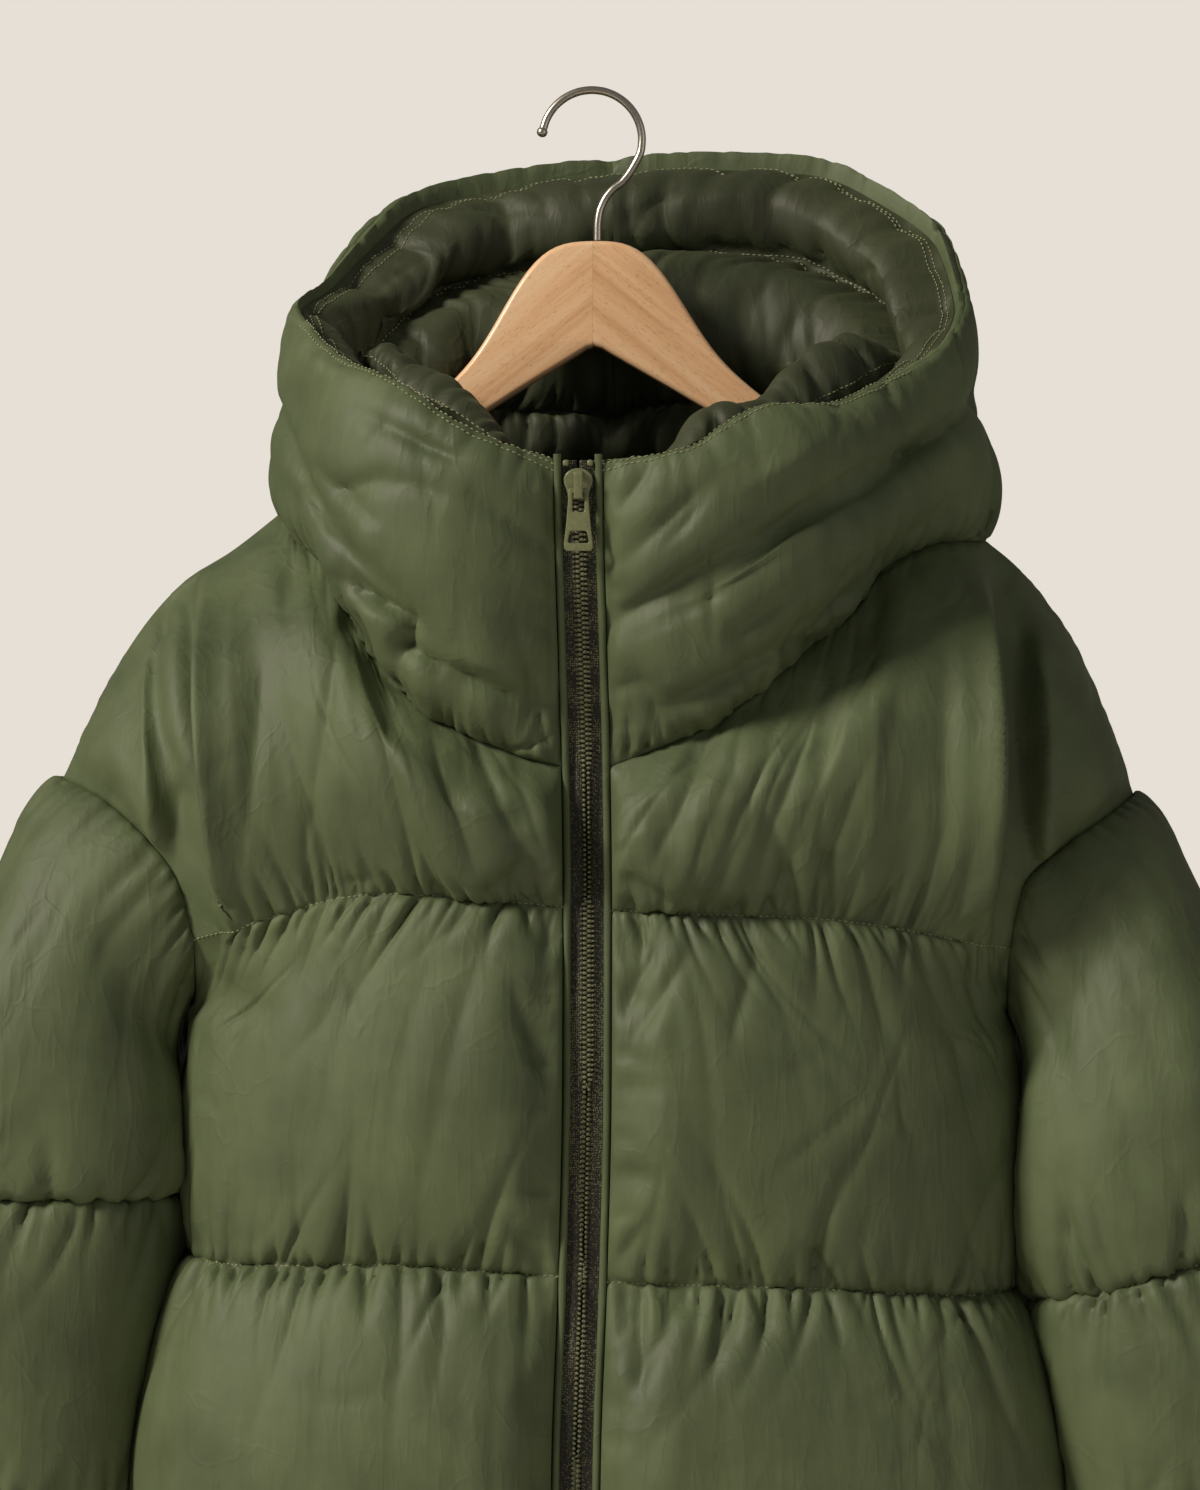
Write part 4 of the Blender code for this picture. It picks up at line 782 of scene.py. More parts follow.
def hanger_outline(side):
    """Half of the hanger's outline, with a rounded end, turned by the hanger's tilt."""
    sign = sign_of(side)
    table = np.array(HANGER_TOP, float)
    reach = np.linspace(0, table[-1, 0], 56)
    levels = smooth(table[:, 0], table[:, 1:], reach)
    mirrored_ends = np.concatenate([levels[5:0:-1], levels, 2 * levels[-1] - levels[-2:-7:-1]])
    window = np.hanning(13)[1:-1, None] / np.hanning(13).sum()
    even = [(mirrored_ends[i : i + 11] * window).sum(axis=0) for i in range(len(levels))]
    table = np.column_stack([reach, np.array(even)[:, 0], levels[:, 1]])
    upper = table[:, :2]
    lower = table[:, [0, 2]]
    end = (upper[-1] + lower[-1]) / 2
    radius = np.linalg.norm(upper[-1] - lower[-1]) / 2
    down = unit(lower[-1] - upper[-1])
    ahead = np.array([-down[1], down[0]])
    tip = []
    for a in np.linspace(0, math.pi, 7)[1:-1]:
        tip.append(end - down * radius * math.cos(a) + ahead * radius * math.sin(a) * 0.8)
    points = np.concatenate([upper, tip, lower[::-1]])
    points[0, 0] = points[-1, 0] = -2 * HANGER_EDGE
    shape = []
    for x, z in points:
        dx, dz = sign * x, z - HANGER_PIVOT[1]
        turned_x = dx * math.cos(HANGER_TILT) - dz * math.sin(HANGER_TILT)
        turned_z = dx * math.sin(HANGER_TILT) + dz * math.cos(HANGER_TILT)
        shape.append((HANGER_PIVOT[0] + turned_x, HANGER_PIVOT[1] + turned_z))
    return shape


def hook_points():
    """The wire's centre line: from the ball tip over the circle, then an S down to the wood."""
    cx, cz = HOOK_CENTRE
    circle = []
    for degrees in np.arange(167, -31, -11):
        a = math.radians(degrees)
        circle.append((cx + HOOK_RADIUS * math.cos(a), cz + HOOK_RADIUS * math.sin(a)))
    return circle[:-1] + HOOK_BEND


# ------------------------------------------------------------------ the cloth


def arch(share):
    """Half a sine: 0 at both ends of the share from 0 to 1, and 1 in the middle."""
    return np.maximum(np.sin(math.pi * np.asarray(share, float)), 0)


def relaxed(grid, rounds):
    """The surface with its inside evened out and its edges kept."""
    grid = grid.copy()
    for _ in range(rounds):
        middle = (grid[:-2, 1:-1] + grid[2:, 1:-1] + grid[1:-1, :-2] + grid[1:-1, 2:]) / 4
        grid[1:-1, 1:-1] = (grid[1:-1, 1:-1] + middle) / 2
    return grid


def lengths(grid, axis):
    """Length along the rows (1) or down the columns (0) of a grid, from its first edge."""
    steps = np.linalg.norm(np.diff(grid, axis=axis), axis=2)
    first = np.zeros_like(np.take(steps, [0], axis=axis))
    return np.concatenate([first, np.cumsum(steps, axis=axis)], axis=axis)


def puckers(rng, along_seam, from_seam, depth, spacing, reach, around=0.0, sharp=1.25):
    """Uneven gathers away from a seam: a sharp valley at each pinch, with round cloth between."""
    height = np.zeros(np.broadcast(along_seam, from_seam).shape)
    total = around or float(along_seam.max())
    at = rng.uniform(0, spacing)
    while at < total:
        tall = depth * rng.uniform(0.3, 1.25)
        long = reach * rng.choice([0.35, 0.6, 1.0, 1.6], p=[0.25, 0.3, 0.3, 0.15])
        wide = spacing * rng.uniform(0.16, 0.32) * (1 + 0.6 * from_seam / reach)
        off = along_seam - at - rng.normal(0, 0.16) * from_seam
        off = off - rng.normal(0, 0.0022) * from_seam**2
        if around:
            off = (off + around / 2) % around - around / 2
        valley = tall * np.exp(-((np.abs(off) / wide) ** sharp))
        height -= valley * np.exp(-((from_seam / long) ** 1.6))
        at += spacing * rng.uniform(0.5, 1.5)
    return height * (1 - np.exp(-from_seam / 1.6))


def creases(rng, across, down, count, depth):
    """Short dry creases at all angles over a piece, from its distances across and down."""
    height = np.zeros(across.shape)
    for _ in range(count):
        x, z = across - rng.uniform(0, across.max()), down - rng.uniform(0, down.max())
        turn, half, wide = rng.uniform(0, math.pi), rng.uniform(10, 36), rng.uniform(1.6, 3.4)
        ahead = x * math.cos(turn) + z * math.sin(turn)
        aside = z * math.cos(turn) - x * math.sin(turn) + rng.normal(0, 0.006) * ahead**2
        tall = depth * rng.uniform(0.25, 1.0)
        height -= tall * np.exp(-((np.abs(aside) / wide) ** 1.2) - (ahead / half) ** 2)
    return height


def shoulder_groove(side, grid):
    """1 along the deep fold from the shoulder to the armpit, falling to 0 all round it."""
    line = np.array(SHOULDER_FOLD[side])[::-1]
    fold_x = smooth(line[:, 0], line[:, 1], grid[..., 2])
    low_end = np.clip((grid[..., 2] - line[0, 0]) / 30 + 1, 0, 1)
    high_end = np.clip((line[-1, 0] + 12 - grid[..., 2]) / 24, 0, 1)
    return np.exp(-(((grid[..., 0] - fold_x) / SHOULDER_FOLD_WIDTH) ** 2)) * low_end * high_end


def channel_filling(side, number, front, grid, across, down):
    """How far the filling lifts the outer skin of one channel, and how much more it may swell."""
    from_centre = lengths(grid, 1)
    from_side = from_centre[:, -1:] - from_centre
    shape = arch(down) ** PUFF_SHAPE
    if number == 0:
        shape = np.where(down < 0.5, roundness(down, PUFF_SHAPE), shape)
    if number == len(CHANNEL_ROWS) - 1:
        from_top = lengths(grid, 0)
        from_hem = (from_top[-1:] - from_top)[:, :1]
        shape = np.sin(math.pi * (0.10 + 0.90 * (1 - down))) ** PUFF_SHAPE
        shape = np.where(down == 0, 0, shape) * roundness(from_hem, HEM_SQUARE)
    more = (FRONT_PUFF if front else BACK_PUFF) - SIDE_PUFF
    height = shape * (SIDE_PUFF * roundness(from_side, 20) + more * roundness(from_side, 95))
    if front:
        height = height * roundness(from_centre + 1.0, 26)
    if number == 0:
        height = height * (0.45 + 0.55 * roundness(down, 0.7))
        height = height + 3.0 * arch(down) * arch(across)
        height = height * roundness(from_side, 30)
    height = height * 0.86
    if number < 2 and front:
        height = np.maximum(height - SHOULDER_FOLD_DEPTH * shoulder_groove(side, grid), 0.3)
    height = np.maximum(height, -0.6)
    height[0] = height[-1] = 0
    return height, 1.0 + 9.0 * roundness(from_side, 70)


def thickness_ways(side, front, grid):
    """Directions in which half a panel is thick. At its edges they are those of the next piece."""
    sign, facing = sign_of(side), -1.0 if front else 1.0
    outward = np.zeros_like(grid)
    outward[..., 1] = facing
    outward[..., 0] = 0.6 * sign
    outward[: CHANNEL_ROWS[0], :, 2] = 0.5
    way = normals_of(grid, outward)
    neck = NECK_COLUMNS if front else BACK_NECK_COLUMNS
    way[:, 0] = (0, facing, 0)
    way[0, : neck + 1] = neck_direction(grid[0, : neck + 1])
    way[0, neck + 1 :] = unit([0.6 * sign, 0, 0.8])
    way[0, neck] = unit([0.9 * sign, 0, 0.44])
    way[: ARMPIT_ROW + 1, -1] = armhole_direction(side, front, ARMPIT_ROW + 1)
    way[ARMPIT_ROW + 1 :, -1] = (sign, 0, 0)
    return unit(relaxed(way, 12))


def half_panel(side, front):
    """Seam surface, filled height, thickness directions and room to swell of half a panel."""
    parts = []
    facing = -1.0 if front else 1.0
    for number, rows in enumerate(CHANNEL_ROWS):
        top, bottom, centre, outer, shares = channel_edges(side, number, front, rows)
        grid = coons(top, bottom, centre, outer)
        if number < 2:
            grid = relaxed(grid, 70)
        across = np.clip(share_of(top, bottom), 0, 1)[None, :]
        down = np.clip(shares, 0, 1)[:, None]
        if number == 0:
            swell = arch(across) ** 0.8 * arch(down) ** 0.9
            grid[..., 1] += facing * swell * (12 if front else 14)
            if not front:
                rise = np.sin(math.pi * np.clip(down / 0.62, 0, 1))
                rise = rise * np.sin(math.pi * np.clip(across * 1.5 - 0.5, 0, 1))
                way = np.array([0.7 * sign_of(side), 0.0, 0.7])
                grid += SHOULDER_RISE[side] * rise[..., None] * way
        made = grid, *channel_filling(side, number, front, grid, across, down)
        parts.append([rows_made[min(number, 1) :] for rows_made in made])
    grid, height, room = (np.concatenate(column) for column in zip(*parts))
    height[0] = 0
    height[:, -1] = 0
    height *= roundness(np.linalg.norm(grid - grid[ARMPIT_ROW, -1], axis=2), ARMPIT_SOFT)
    return grid, height, thickness_ways(side, front, grid), room


def fold(grid, x0, z0, x1, z1, width):
    """1 on the line between two points seen from the front, falling to 0 at this width from it."""
    x, z = grid[..., 0], grid[..., 2]
    dx, dz = x1 - x0, z1 - z0
    on_line = np.clip(((x - x0) * dx + (z - z0) * dz) / (dx * dx + dz * dz), 0, 1)
    away = np.hypot(x - x0 - on_line * dx, z - z0 - on_line * dz)
    return np.exp(-((away / width) ** 1.3)) * arch(0.02 + 0.96 * on_line) ** 0.8


def skins_of(grid, height, direction):
    """The outer and the inner skin of a seam surface."""
    outer = grid + direction * (SKIN_OUT + height)[..., None]
    inner = grid - direction * SKIN_IN
    return outer, inner


def seam_rows(counts):
    """Row numbers of the seams between stretches of these many rows."""
    return [int(n) for n in np.cumsum(counts)[:-1]]


def body_reach(side, points):
    """How far out the body's outer skin reaches beside these points."""
    skins = []
    for front in (True, False):
        grid, height, direction, _ = half_panel(side, front)
        skins.append(skins_of(grid, height, direction)[0][:, -24::2].reshape(-1, 3))
    skin = np.concatenate(skins)
    tree = KDTree(len(skin))
    for number, (_, y, z) in enumerate(skin):
        tree.insert((y, z, 0), number)
    tree.balance()
    reach = []
    for _, y, z in points.reshape(-1, 3):
        near = [number for _, number, _ in tree.find_n((y, z, 0), 6)]
        reach.append(np.abs(skin[near, 0]).max())
    return np.array(reach).reshape(points.shape[:-1])


def sleeve_rings(side):
    """A sleeve as rings from the armhole down: seam surface, filled height, thickness directions,
    room to swell, and the angle of each column."""
    front, _, front_way, _ = half_panel(side, True)
    back, _, back_way, _ = half_panel(side, False)
    loop, loop_way = (
        np.concatenate([a[: ARMPIT_ROW + 1, -1], b[1:ARMPIT_ROW, -1][::-1]])
        for a, b in ((front, back), (front_way, back_way))
    )
    turn = np.linspace(0, 2 * math.pi, len(loop), endpoint=False)
    cos, sin = np.cos(turn)[:, None], np.sin(turn)[:, None]
    table = np.array(SLEEVE[side], float)
    first = [*loop[0, ::2], *loop[ARMPIT_ROW, ::2], *table[0, 4:]]
    table = np.vstack([first, table])
    stops = (-1, *SLEEVE_SEAMS)
    middle = loop.mean(axis=0)
    pressed = 0.45 + 0.55 * (1 + np.cos(turn - 0.35)) / 2
    parts = []
    for number, rows in enumerate(SLEEVE_ROWS):
        shares = centred(rows)
        levels = stops[number] + (stops[number + 1] - stops[number]) * shares
        rings, ways = [], []
        sections = smooth(np.arange(-1, 16), table, levels)
        for s, (out_x, out_z, in_x, in_z, half_depth, centre_y) in zip(levels, sections):
            outer = np.array([out_x, centre_y, out_z])
            inner = np.array([in_x, centre_y, in_z])
            centre, across = (outer + inner) / 2, (outer - inner) / 2
            flat = np.sign(cos) * np.abs(cos) ** 0.86 * across
            ring = centre + flat - np.sign(sin) * np.abs(sin) ** 0.86 * np.array([0, half_depth, 0])
            kept = float(np.interp(s, [-1, 0, 1, 2], [1, 0.55, 0.25, 0]))
            rings.append((1 - kept) * ring + kept * (loop + (centre - middle) * min(1.0, s + 1)))
            way = unit(cos * across / (across @ across) ** 0.5 - sin * np.array([0, 1.0, 0]))
            turned = float(np.clip((s + 1) / 2, 0, 1))
            ways.append(unit(way * turned + loop_way * (1 - turned)))
        shape = arch(shares)[:, None] ** PUFF_SHAPE
        if number == len(SLEEVE_ROWS) - 1:
            shape = np.maximum(shape, 0.1 * (shares[:, None] > 0.5))
        height = 0.88 * SLEEVE_PUFF * shape * pressed
        for s0, t0, s1, t1, rise, width in SLEEVE_FOLDS[side]:
            if number == int(t0):
                share = np.minimum(turn, 2 * math.pi - turn)[None, :] / math.pi
                share = np.where(turn[None, :] > math.pi, share + 5, share)
                line = crease(share, shares[:, None], s0, t0 % 1, s1, t1 % 1, width)
                height = height + rise * line * shape
        height[0] = 0
        room = np.broadcast_to(1.0 + 5.0 * pressed * (1 + np.cos(turn)) / 2, height.shape)
        made = np.array(rings), height, np.array(ways), room
        parts.append([rows_made[min(number, 1) :] for rows_made in made])
    return *(np.concatenate(column) for column in zip(*parts)), turn


def sleeve_skins(side):
    """Outer and inner surface of a sleeve, kept off the body, with the room it has to swell."""
    sign = sign_of(side)
    grid, height, way, room, turn = sleeve_rings(side)
    outer, inner = skins_of(grid, height, way)
    limit = body_reach(side, outer) + SLEEVE_CLEARANCE
    armpit = grid[0, :, 2].min() + 16
    below = outer[..., 2] < armpit
    below[0] = False
    under = (1 - np.cos(turn)) / 2
    lower = np.clip((armpit - outer[..., 2]) / 45, 0, 1)
    loose = np.clip(sign * outer[..., 0] - limit, 0, 10) * lower * under[None, :] ** 3
    outer[..., 0] -= sign * loose * np.minimum(height / 4.0 + 0.4, 1)
    tight = below & (sign * outer[..., 0] < limit)
    outer[..., 0] = np.where(tight, sign * limit, outer[..., 0])
    thin = below & (sign * (inner[..., 0] - outer[..., 0]) < SLEEVE_WALL)
    thin &= (np.cos(turn) < 0)[None, :]
    inner[..., 0] = np.where(thin, outer[..., 0] + sign * SLEEVE_WALL, inner[..., 0])
    shift = SEAM_GAP * (1 + 3 * under**6)[:, None] * unit(np.array([0.45 * sign, 0, -0.9]))
    outer[0] += shift
    inner[0] += shift
    return outer, inner, room


class Skin:
    """One filled piece: its outer and inner surface, its seams and how far it may swell."""

    def __init__(self, name, nodes, outer, inner, seams, room, closed=False, halve=(True, True),
                 gather=(), folds=(), sides=(0.0, 0.0), lift=0.0, dry=(0, 0), pinch=None):
        self.name, self.nodes = name, nodes
        self.outer, self.inner = outer, inner
        self.seams = list(seams)    # rows that are sewn down, apart from the first and the last
        self.room = room            # how far each point may swell
        self.closed = closed        # whether the columns run round into a ring
        self.halve = halve          # whether rows and columns are halved at the end
        self.gather = gather        # strength of the gathers at each seam
        self.folds = folds
        self.sides = sides          # strength of the gathers at the first and the last column
        self.lift = lift            # rise of the part that faces the front
        self.dry = dry              # number and depth of the dry creases
        self.pinch = pinch          # depth and spacing of the deep pinches, if any

    def sewn(self):
        """True at each point that a seam holds down."""
        held = np.zeros(self.outer.shape[:2], bool)
        held[[0, -1, *self.seams]] = True
        if not self.closed:
            held[:, [0, -1]] = True
        return held


def grid_faces(rows, columns, closed):
    """The four-sided faces of a grid of points, closed into a ring or not."""
    number = np.arange(rows * columns).reshape(rows, columns)
    if closed:
        number = np.concatenate([number, number[:, :1]], axis=1)
    corners = (number[:-1, :-1], number[:-1, 1:], number[1:, 1:], number[1:, :-1])
    return np.stack(corners, axis=-1).reshape(-1, 4)


def outward_sign(skin):
    """1 if the faces of the outer grid, as listed, turn away from the inner one, or else -1."""
    across = np.diff(skin.outer, axis=1)[:-1]
    down = np.diff(skin.outer, axis=0)[:, :-1]
    away = (skin.outer - skin.inner)[:-1, :-1]
    return 1.0 if (np.cross(across, down) * away).sum() > 0 else -1.0


def fill(skins):
    """Blows up the cloth of all these skins together, held at its seams, so that it puckers."""
    cloth = bpy.context.scene.coat_cloth
    trials = []
    for skin in skins:
        rows, columns = skin.outer.shape[:2]
        data = bpy.data.meshes.new("filling")
        faces = grid_faces(rows, columns, skin.closed)
        data.from_pydata((skin.outer.reshape(-1, 3) * MM).tolist(), [], faces.tolist())
        trial = linked("filling", data)
        held = trial.vertex_groups.new(name="seams")
        held.add(np.flatnonzero(skin.sewn()).tolist(), 1.0, "REPLACE")
        modifier = trial.modifiers.new("filling", "CLOTH")
        settings = modifier.settings
        settings.quality = 5
        settings.mass = 0.3
        settings.vertex_group_mass = "seams"
        settings.use_pressure = True
        settings.uniform_pressure_force = cloth.pressure * outward_sign(skin)
        settings.shrink_min = -cloth.fullness
        settings.tension_stiffness = settings.compression_stiffness = 15
        settings.shear_stiffness = 5
        settings.bending_stiffness = 0.5
        settings.effector_weights.gravity = 0
        modifier.collision_settings.use_collision = False
        modifier.collision_settings.use_self_collision = False
        modifier.point_cache.frame_start = 1
        modifier.point_cache.frame_end = STEADY_FRAMES
        trials.append(trial)
    for number in range(1, STEADY_FRAMES + 1):
        bpy.context.scene.frame_set(number)
    graph = bpy.context.evaluated_depsgraph_get()
    for skin, trial in zip(skins, trials):
        data = trial.evaluated_get(graph).data
        points = np.empty(len(data.vertices) * 3, np.float32)
        data.vertices.foreach_get("co", points)
        moved = relaxed(points.reshape(skin.outer.shape).astype(float) / MM - skin.outer, 4)
        far = np.maximum(np.linalg.norm(moved, axis=2), 1e-6)
        moved *= (skin.room * np.tanh(far / skin.room) / far)[..., None]
        skin.outer = skin.outer + moved
    for trial in trials:
        data = trial.data
        bpy.data.objects.remove(trial)
        bpy.data.meshes.remove(data)
    bpy.context.scene.frame_set(1)


def halved(points, breaks=(), closed=False):
    """The rows with a point of a cubic curve between each two. It turns sharply at the breaks."""
    if closed:
        ring = np.concatenate([points[-1:], points, points[:2]])
        middle = (9 * (ring[1:-2] + ring[2:-1]) - ring[:-3] - ring[3:]) / 16
        return np.stack([points, middle], axis=1).reshape(-1, *points.shape[1:])
    ends = [0, *breaks, len(points) - 1]
    rows = []
    for start, end in zip(ends, ends[1:]):
        part = points[start : end + 1]
        line = np.concatenate([2 * part[:1] - part[1:2], part, 2 * part[-1:] - part[-2:-1]])
        middle = (9 * (line[1:-2] + line[2:-1]) - line[:-3] - line[3:]) / 16
        rows.append(np.stack([part[:-1], middle], axis=1).reshape(-1, *points.shape[1:]))
    return np.concatenate([*rows, points[-1:]])


def finer(skin):
    """Halves the spaces of the outer surface and keeps every second point of the inner one."""
    thick = np.linalg.norm(skin.outer - skin.inner, axis=2)
    fine = np.concatenate([skin.outer, thick[..., None]], axis=2)
    if skin.halve[0]:
        fine = halved(fine, skin.seams)
        skin.seams = [2 * row for row in skin.seams]
    if skin.halve[1]:
        fine = halved(fine.swapaxes(0, 1), closed=skin.closed).swapaxes(0, 1)
    skin.outer, skin.thick = fine[..., :3], fine[..., 3]
    skin.inner = skin.inner[::2, ::2]


def outward_of(skin):
    """Unit normals of the fine outer surface, away from the inner one."""
    ring = skin.outer
    if skin.closed:
        ring = np.concatenate([ring[:, -1:], ring, ring[:, :1]], axis=1)
    way = np.cross(np.gradient(ring, axis=1), np.gradient(ring, axis=0))
    if skin.closed:
        way = way[:, 1:-1]
    return unit(way) * outward_sign_of_grid(skin)


def gathered(skin):
    """Presses gathers, slow waves, dry creases and the piece's own folds into its outer surface."""
    cloth = bpy.context.scene.coat_cloth
    depth, spacing = cloth.pucker_depth / MM, cloth.pucker_spacing / MM
    rng = np.random.default_rng(sum(map(ord, skin.name)))
    outer, rows = skin.outer, [0, *skin.seams, len(skin.outer) - 1]
    across, down = lengths(outer, 1), lengths(outer, 0)
    around = float(across[:, -1].mean()) * (1 + 1 / across.shape[1]) if skin.closed else 0.0
    from_edge = np.minimum(across, across[:, -1:] - across)
    height = np.zeros(outer.shape[:2])
    for number, (top, bottom) in enumerate(zip(rows, rows[1:])):
        part = slice(top, bottom + 1)
        from_top = lengths(outer[part], 0)
        from_bottom = from_top[-1:] - from_top
        tall = float(from_top[-1].mean())
        reach = min(GATHER_REACH, 0.42 * tall)
        seams = (top, from_top), (bottom, from_bottom)
        for (seam, away), strength in zip(seams, skin.gather[number:]):
            line = across[seam][None]
            for share, apart, far in ((1.0, 1.0, 1.0), (0.4, 0.7, 0.4)):
                height[part] += puckers(
                    rng, line, away, share * strength * depth, apart * spacing, far * reach, around)
            if skin.pinch and number < 2:
                deep = skin.pinch[0] * (1.0 - 0.6 * number)
                pinched = puckers(rng, line, away, deep, skin.pinch[1], 0.8 * tall, around, 1.0)
                height[part] += pinched * np.clip((from_edge[part] - 12) / 50, 0, 1)
            crest = np.exp(-((away / (0.8 * reach)) ** 1.6)) * (1 - np.exp(-away / 1.6))
            height[part] += 0.55 * strength * depth * crest
        middle = np.minimum(np.minimum(from_top, from_bottom) / (0.3 * tall), 1)
        line = across[(top + bottom) // 2][None]
        slow = 0.18 * from_top + 8
        wave = puckers(rng, line, slow, 0.22 * depth, 2.8 * spacing, 90.0, around, 1.6)
        height[part] += wave * middle
        for edge, strength in zip((across[part], across[part][:, -1:] - across[part]), skin.sides):
            if strength:
                row = from_top[:, :1]
                sideways = puckers(rng, row, edge, strength * depth, 1.7 * spacing, 24.0)
                height[part] += sideways * middle
    ends = np.minimum(down, down[-1:] - down)
    faces_front = np.clip(-0.15 - 1.5 * outward_of(skin)[..., 1], 0, 1)
    height += creases(rng, across, down, *skin.dry)
    height += skin.lift * faces_front * roundness(ends, 34) * roundness(from_edge, 30)
    for x0, z0, x1, z1, rise, width in skin.folds:
        height += rise * fold(outer, x0, z0, x1, z1, width) * faces_front
    if not skin.closed:
        height *= np.minimum(from_edge / 7, 1)
    height *= np.minimum(ends / 3, 1)
    height = np.maximum(height, -DEEPEST * np.maximum(skin.thick - LEAST_WALL, 0))
    skin.outer = outer + outward_of(skin) * height[..., None]


def skin_object(skin, material):
    """The closed wall between a skin's fine outer and coarse inner surface, with its edges."""
    rows, columns = skin.outer.shape[:2]
    few, narrow = skin.inner.shape[:2]
    down = (rows - 1) // (few - 1)
    side = columns // narrow if skin.closed else (columns - 1) // (narrow - 1)
    out = np.arange(rows * columns).reshape(rows, columns)
    back = rows * columns + np.arange(few * narrow).reshape(few, narrow)
    if skin.closed:
        out = np.concatenate([out, out[:, :1]], axis=1)
        back = np.concatenate([back, back[:, :1]], axis=1)
    faces = grid_faces(rows, columns, skin.closed).tolist()
    faces += (rows * columns + grid_faces(few, narrow, skin.closed)[:, ::-1]).tolist()
    for q in range(back.shape[1] - 1):
        at = out[:, q * side : (q + 1) * side + 1]
        faces.append([*at[0, ::-1].tolist(), int(back[0, q]), int(back[0, q + 1])])
        faces.append([*at[-1].tolist(), int(back[-1, q + 1]), int(back[-1, q])])
    if not skin.closed:
        for q in range(few - 1):
            at = out[q * down : (q + 1) * down + 1]
            faces.append([*at[:, 0].tolist(), int(back[q + 1, 0]), int(back[q, 0])])
            faces.append([*at[::-1, -1].tolist(), int(back[q, -1]), int(back[q + 1, -1])])
    points = np.concatenate([skin.outer.reshape(-1, 3), skin.inner.reshape(-1, 3)]) * MM
    if outward_sign_of_grid(skin) < 0:
        faces = [face[::-1] for face in faces]
    data = bpy.data.meshes.new(skin.name)
    data.from_pydata(points.tolist(), [], faces)
    data.validate()
    return finished(skin.name, data, material, 75)


def outward_sign_of_grid(skin):
    """As outward_sign, for a finished skin whose two surfaces differ in their number of points."""
    rows = np.linspace(0, skin.outer.shape[0] - 1, skin.inner.shape[0]).astype(int)
    columns = np.arange(skin.inner.shape[1]) * max(1, skin.outer.shape[1] // skin.inner.shape[1])
    columns = np.minimum(columns, skin.outer.shape[1] - 1)
    coarse = Skin("", (), skin.outer[rows][:, columns], skin.inner, (), None)
    return outward_sign(coarse)


def linked(name, data):
    """A new object of this data, in the scene."""
    obj = bpy.data.objects.new(name, data)
    bpy.context.scene.collection.objects.link(obj)
    return obj


def finished(name, data, material, sharp):
    """The object of a mesh, smooth but for edges that turn by more than this many degrees."""
    data.name = name
    data.shade_smooth()
    data.set_sharp_from_angle(angle=math.radians(sharp))
    data.materials.clear()
    data.materials.append(material)
    return linked(name, data)


def plain_mesh(source):
    """The plain mesh that an object evaluates to. The object goes."""
    bpy.context.view_layer.update()
    seen = source.evaluated_get(bpy.context.evaluated_depsgraph_get())
    data = bpy.data.meshes.new_from_object(seen)
    bpy.data.objects.remove(source)
    return data


def carry(obj, body, slot, *nodes):
    """The piece rides on a body and stands for these nodes, which are hidden. The slot is not used."""
    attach(obj, body)
    if nodes:
        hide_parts(*nodes)
    return obj


# ------------------------------------------------------------------ finishes


def colour(code):
    """Linear RGBA of an sRGB colour written as #RRGGBB."""
    parts = [int(code[i : i + 2], 16) / 255 for i in (1, 3, 5)]
    return (*[c / 12.92 if c <= 0.04045 else ((c + 0.055) / 1.055) ** 2.4 for c in parts], 1.0)


def wire(tree, node, inputs):
    """Sets a node's inputs. Each is a value, or the (node, output) that feeds it."""
    for name, value in inputs.items():
        if isinstance(value, tuple) and isinstance(value[0], bpy.types.Node):
            tree.links.new(value[0].outputs[value[1]], node.inputs[name])
        else:
            node.inputs[name].default_value = value


def add_node(tree, kind, settings=None, inputs=None):
    """A new node with these settings and inputs."""
    node = tree.nodes.new(kind)
    for name, value in (settings or {}).items():
        setattr(node, name, value)
    wire(tree, node, inputs or {})
    return node


def new_material(name, settings):
    """A material, its tree, its shader with these plain values, and the piece's own coordinates."""
    material = bpy.data.materials.new(name)
    material.use_nodes = True
    tree = material.node_tree
    shader = tree.nodes["Principled BSDF"]
    wire(tree, shader, settings)
    return material, tree, shader, (add_node(tree, "ShaderNodeTexCoord"), "Object")


def ramp(tree, source, stops):
    """The colour of a value on a ramp. stops are (position, #RRGGBB)."""
    node = add_node(tree, "ShaderNodeValToRGB", inputs={"Fac": source})
    ends = node.color_ramp.elements
    for end, (position, code) in zip(ends, (stops[0], stops[-1])):
        end.position, end.color = position, colour(code)
    for position, code in stops[1:-1]:
        ends.new(position).color = colour(code)
    return node, "Color"


def noise(tree, vector, scale, detail=2.0, settings=None, **more):
    """A noise texture at this vector."""
    inputs = {"Vector": vector, "Scale": scale, "Detail": detail, **more}
    return add_node(tree, "ShaderNodeTexNoise", settings, inputs)


def mapped(tree, vector, **change):
    """A vector, turned or scaled."""
    return add_node(tree, "ShaderNodeMapping", inputs={"Vector": vector, **change}), "Vector"


def warped(tree, vector, scale, detail, share):
    """A vector mixed with this share of a noise, so that straight lines bend."""
    shift = noise(tree, vector, scale, detail)
    mixed = {0: share, 4: vector, 5: (shift, "Color")}
    return add_node(tree, "ShaderNodeMix", {"data_type": "VECTOR"}, mixed), 1


def ranged(tree, value, start, end, low, high, kind="LINEAR"):
    """A value brought from one range to another."""
    inputs = {"Value": value, "From Min": start, "From Max": end, "To Min": low, "To Max": high}
    return add_node(tree, "ShaderNodeMapRange", {"interpolation_type": kind}, inputs), "Result"


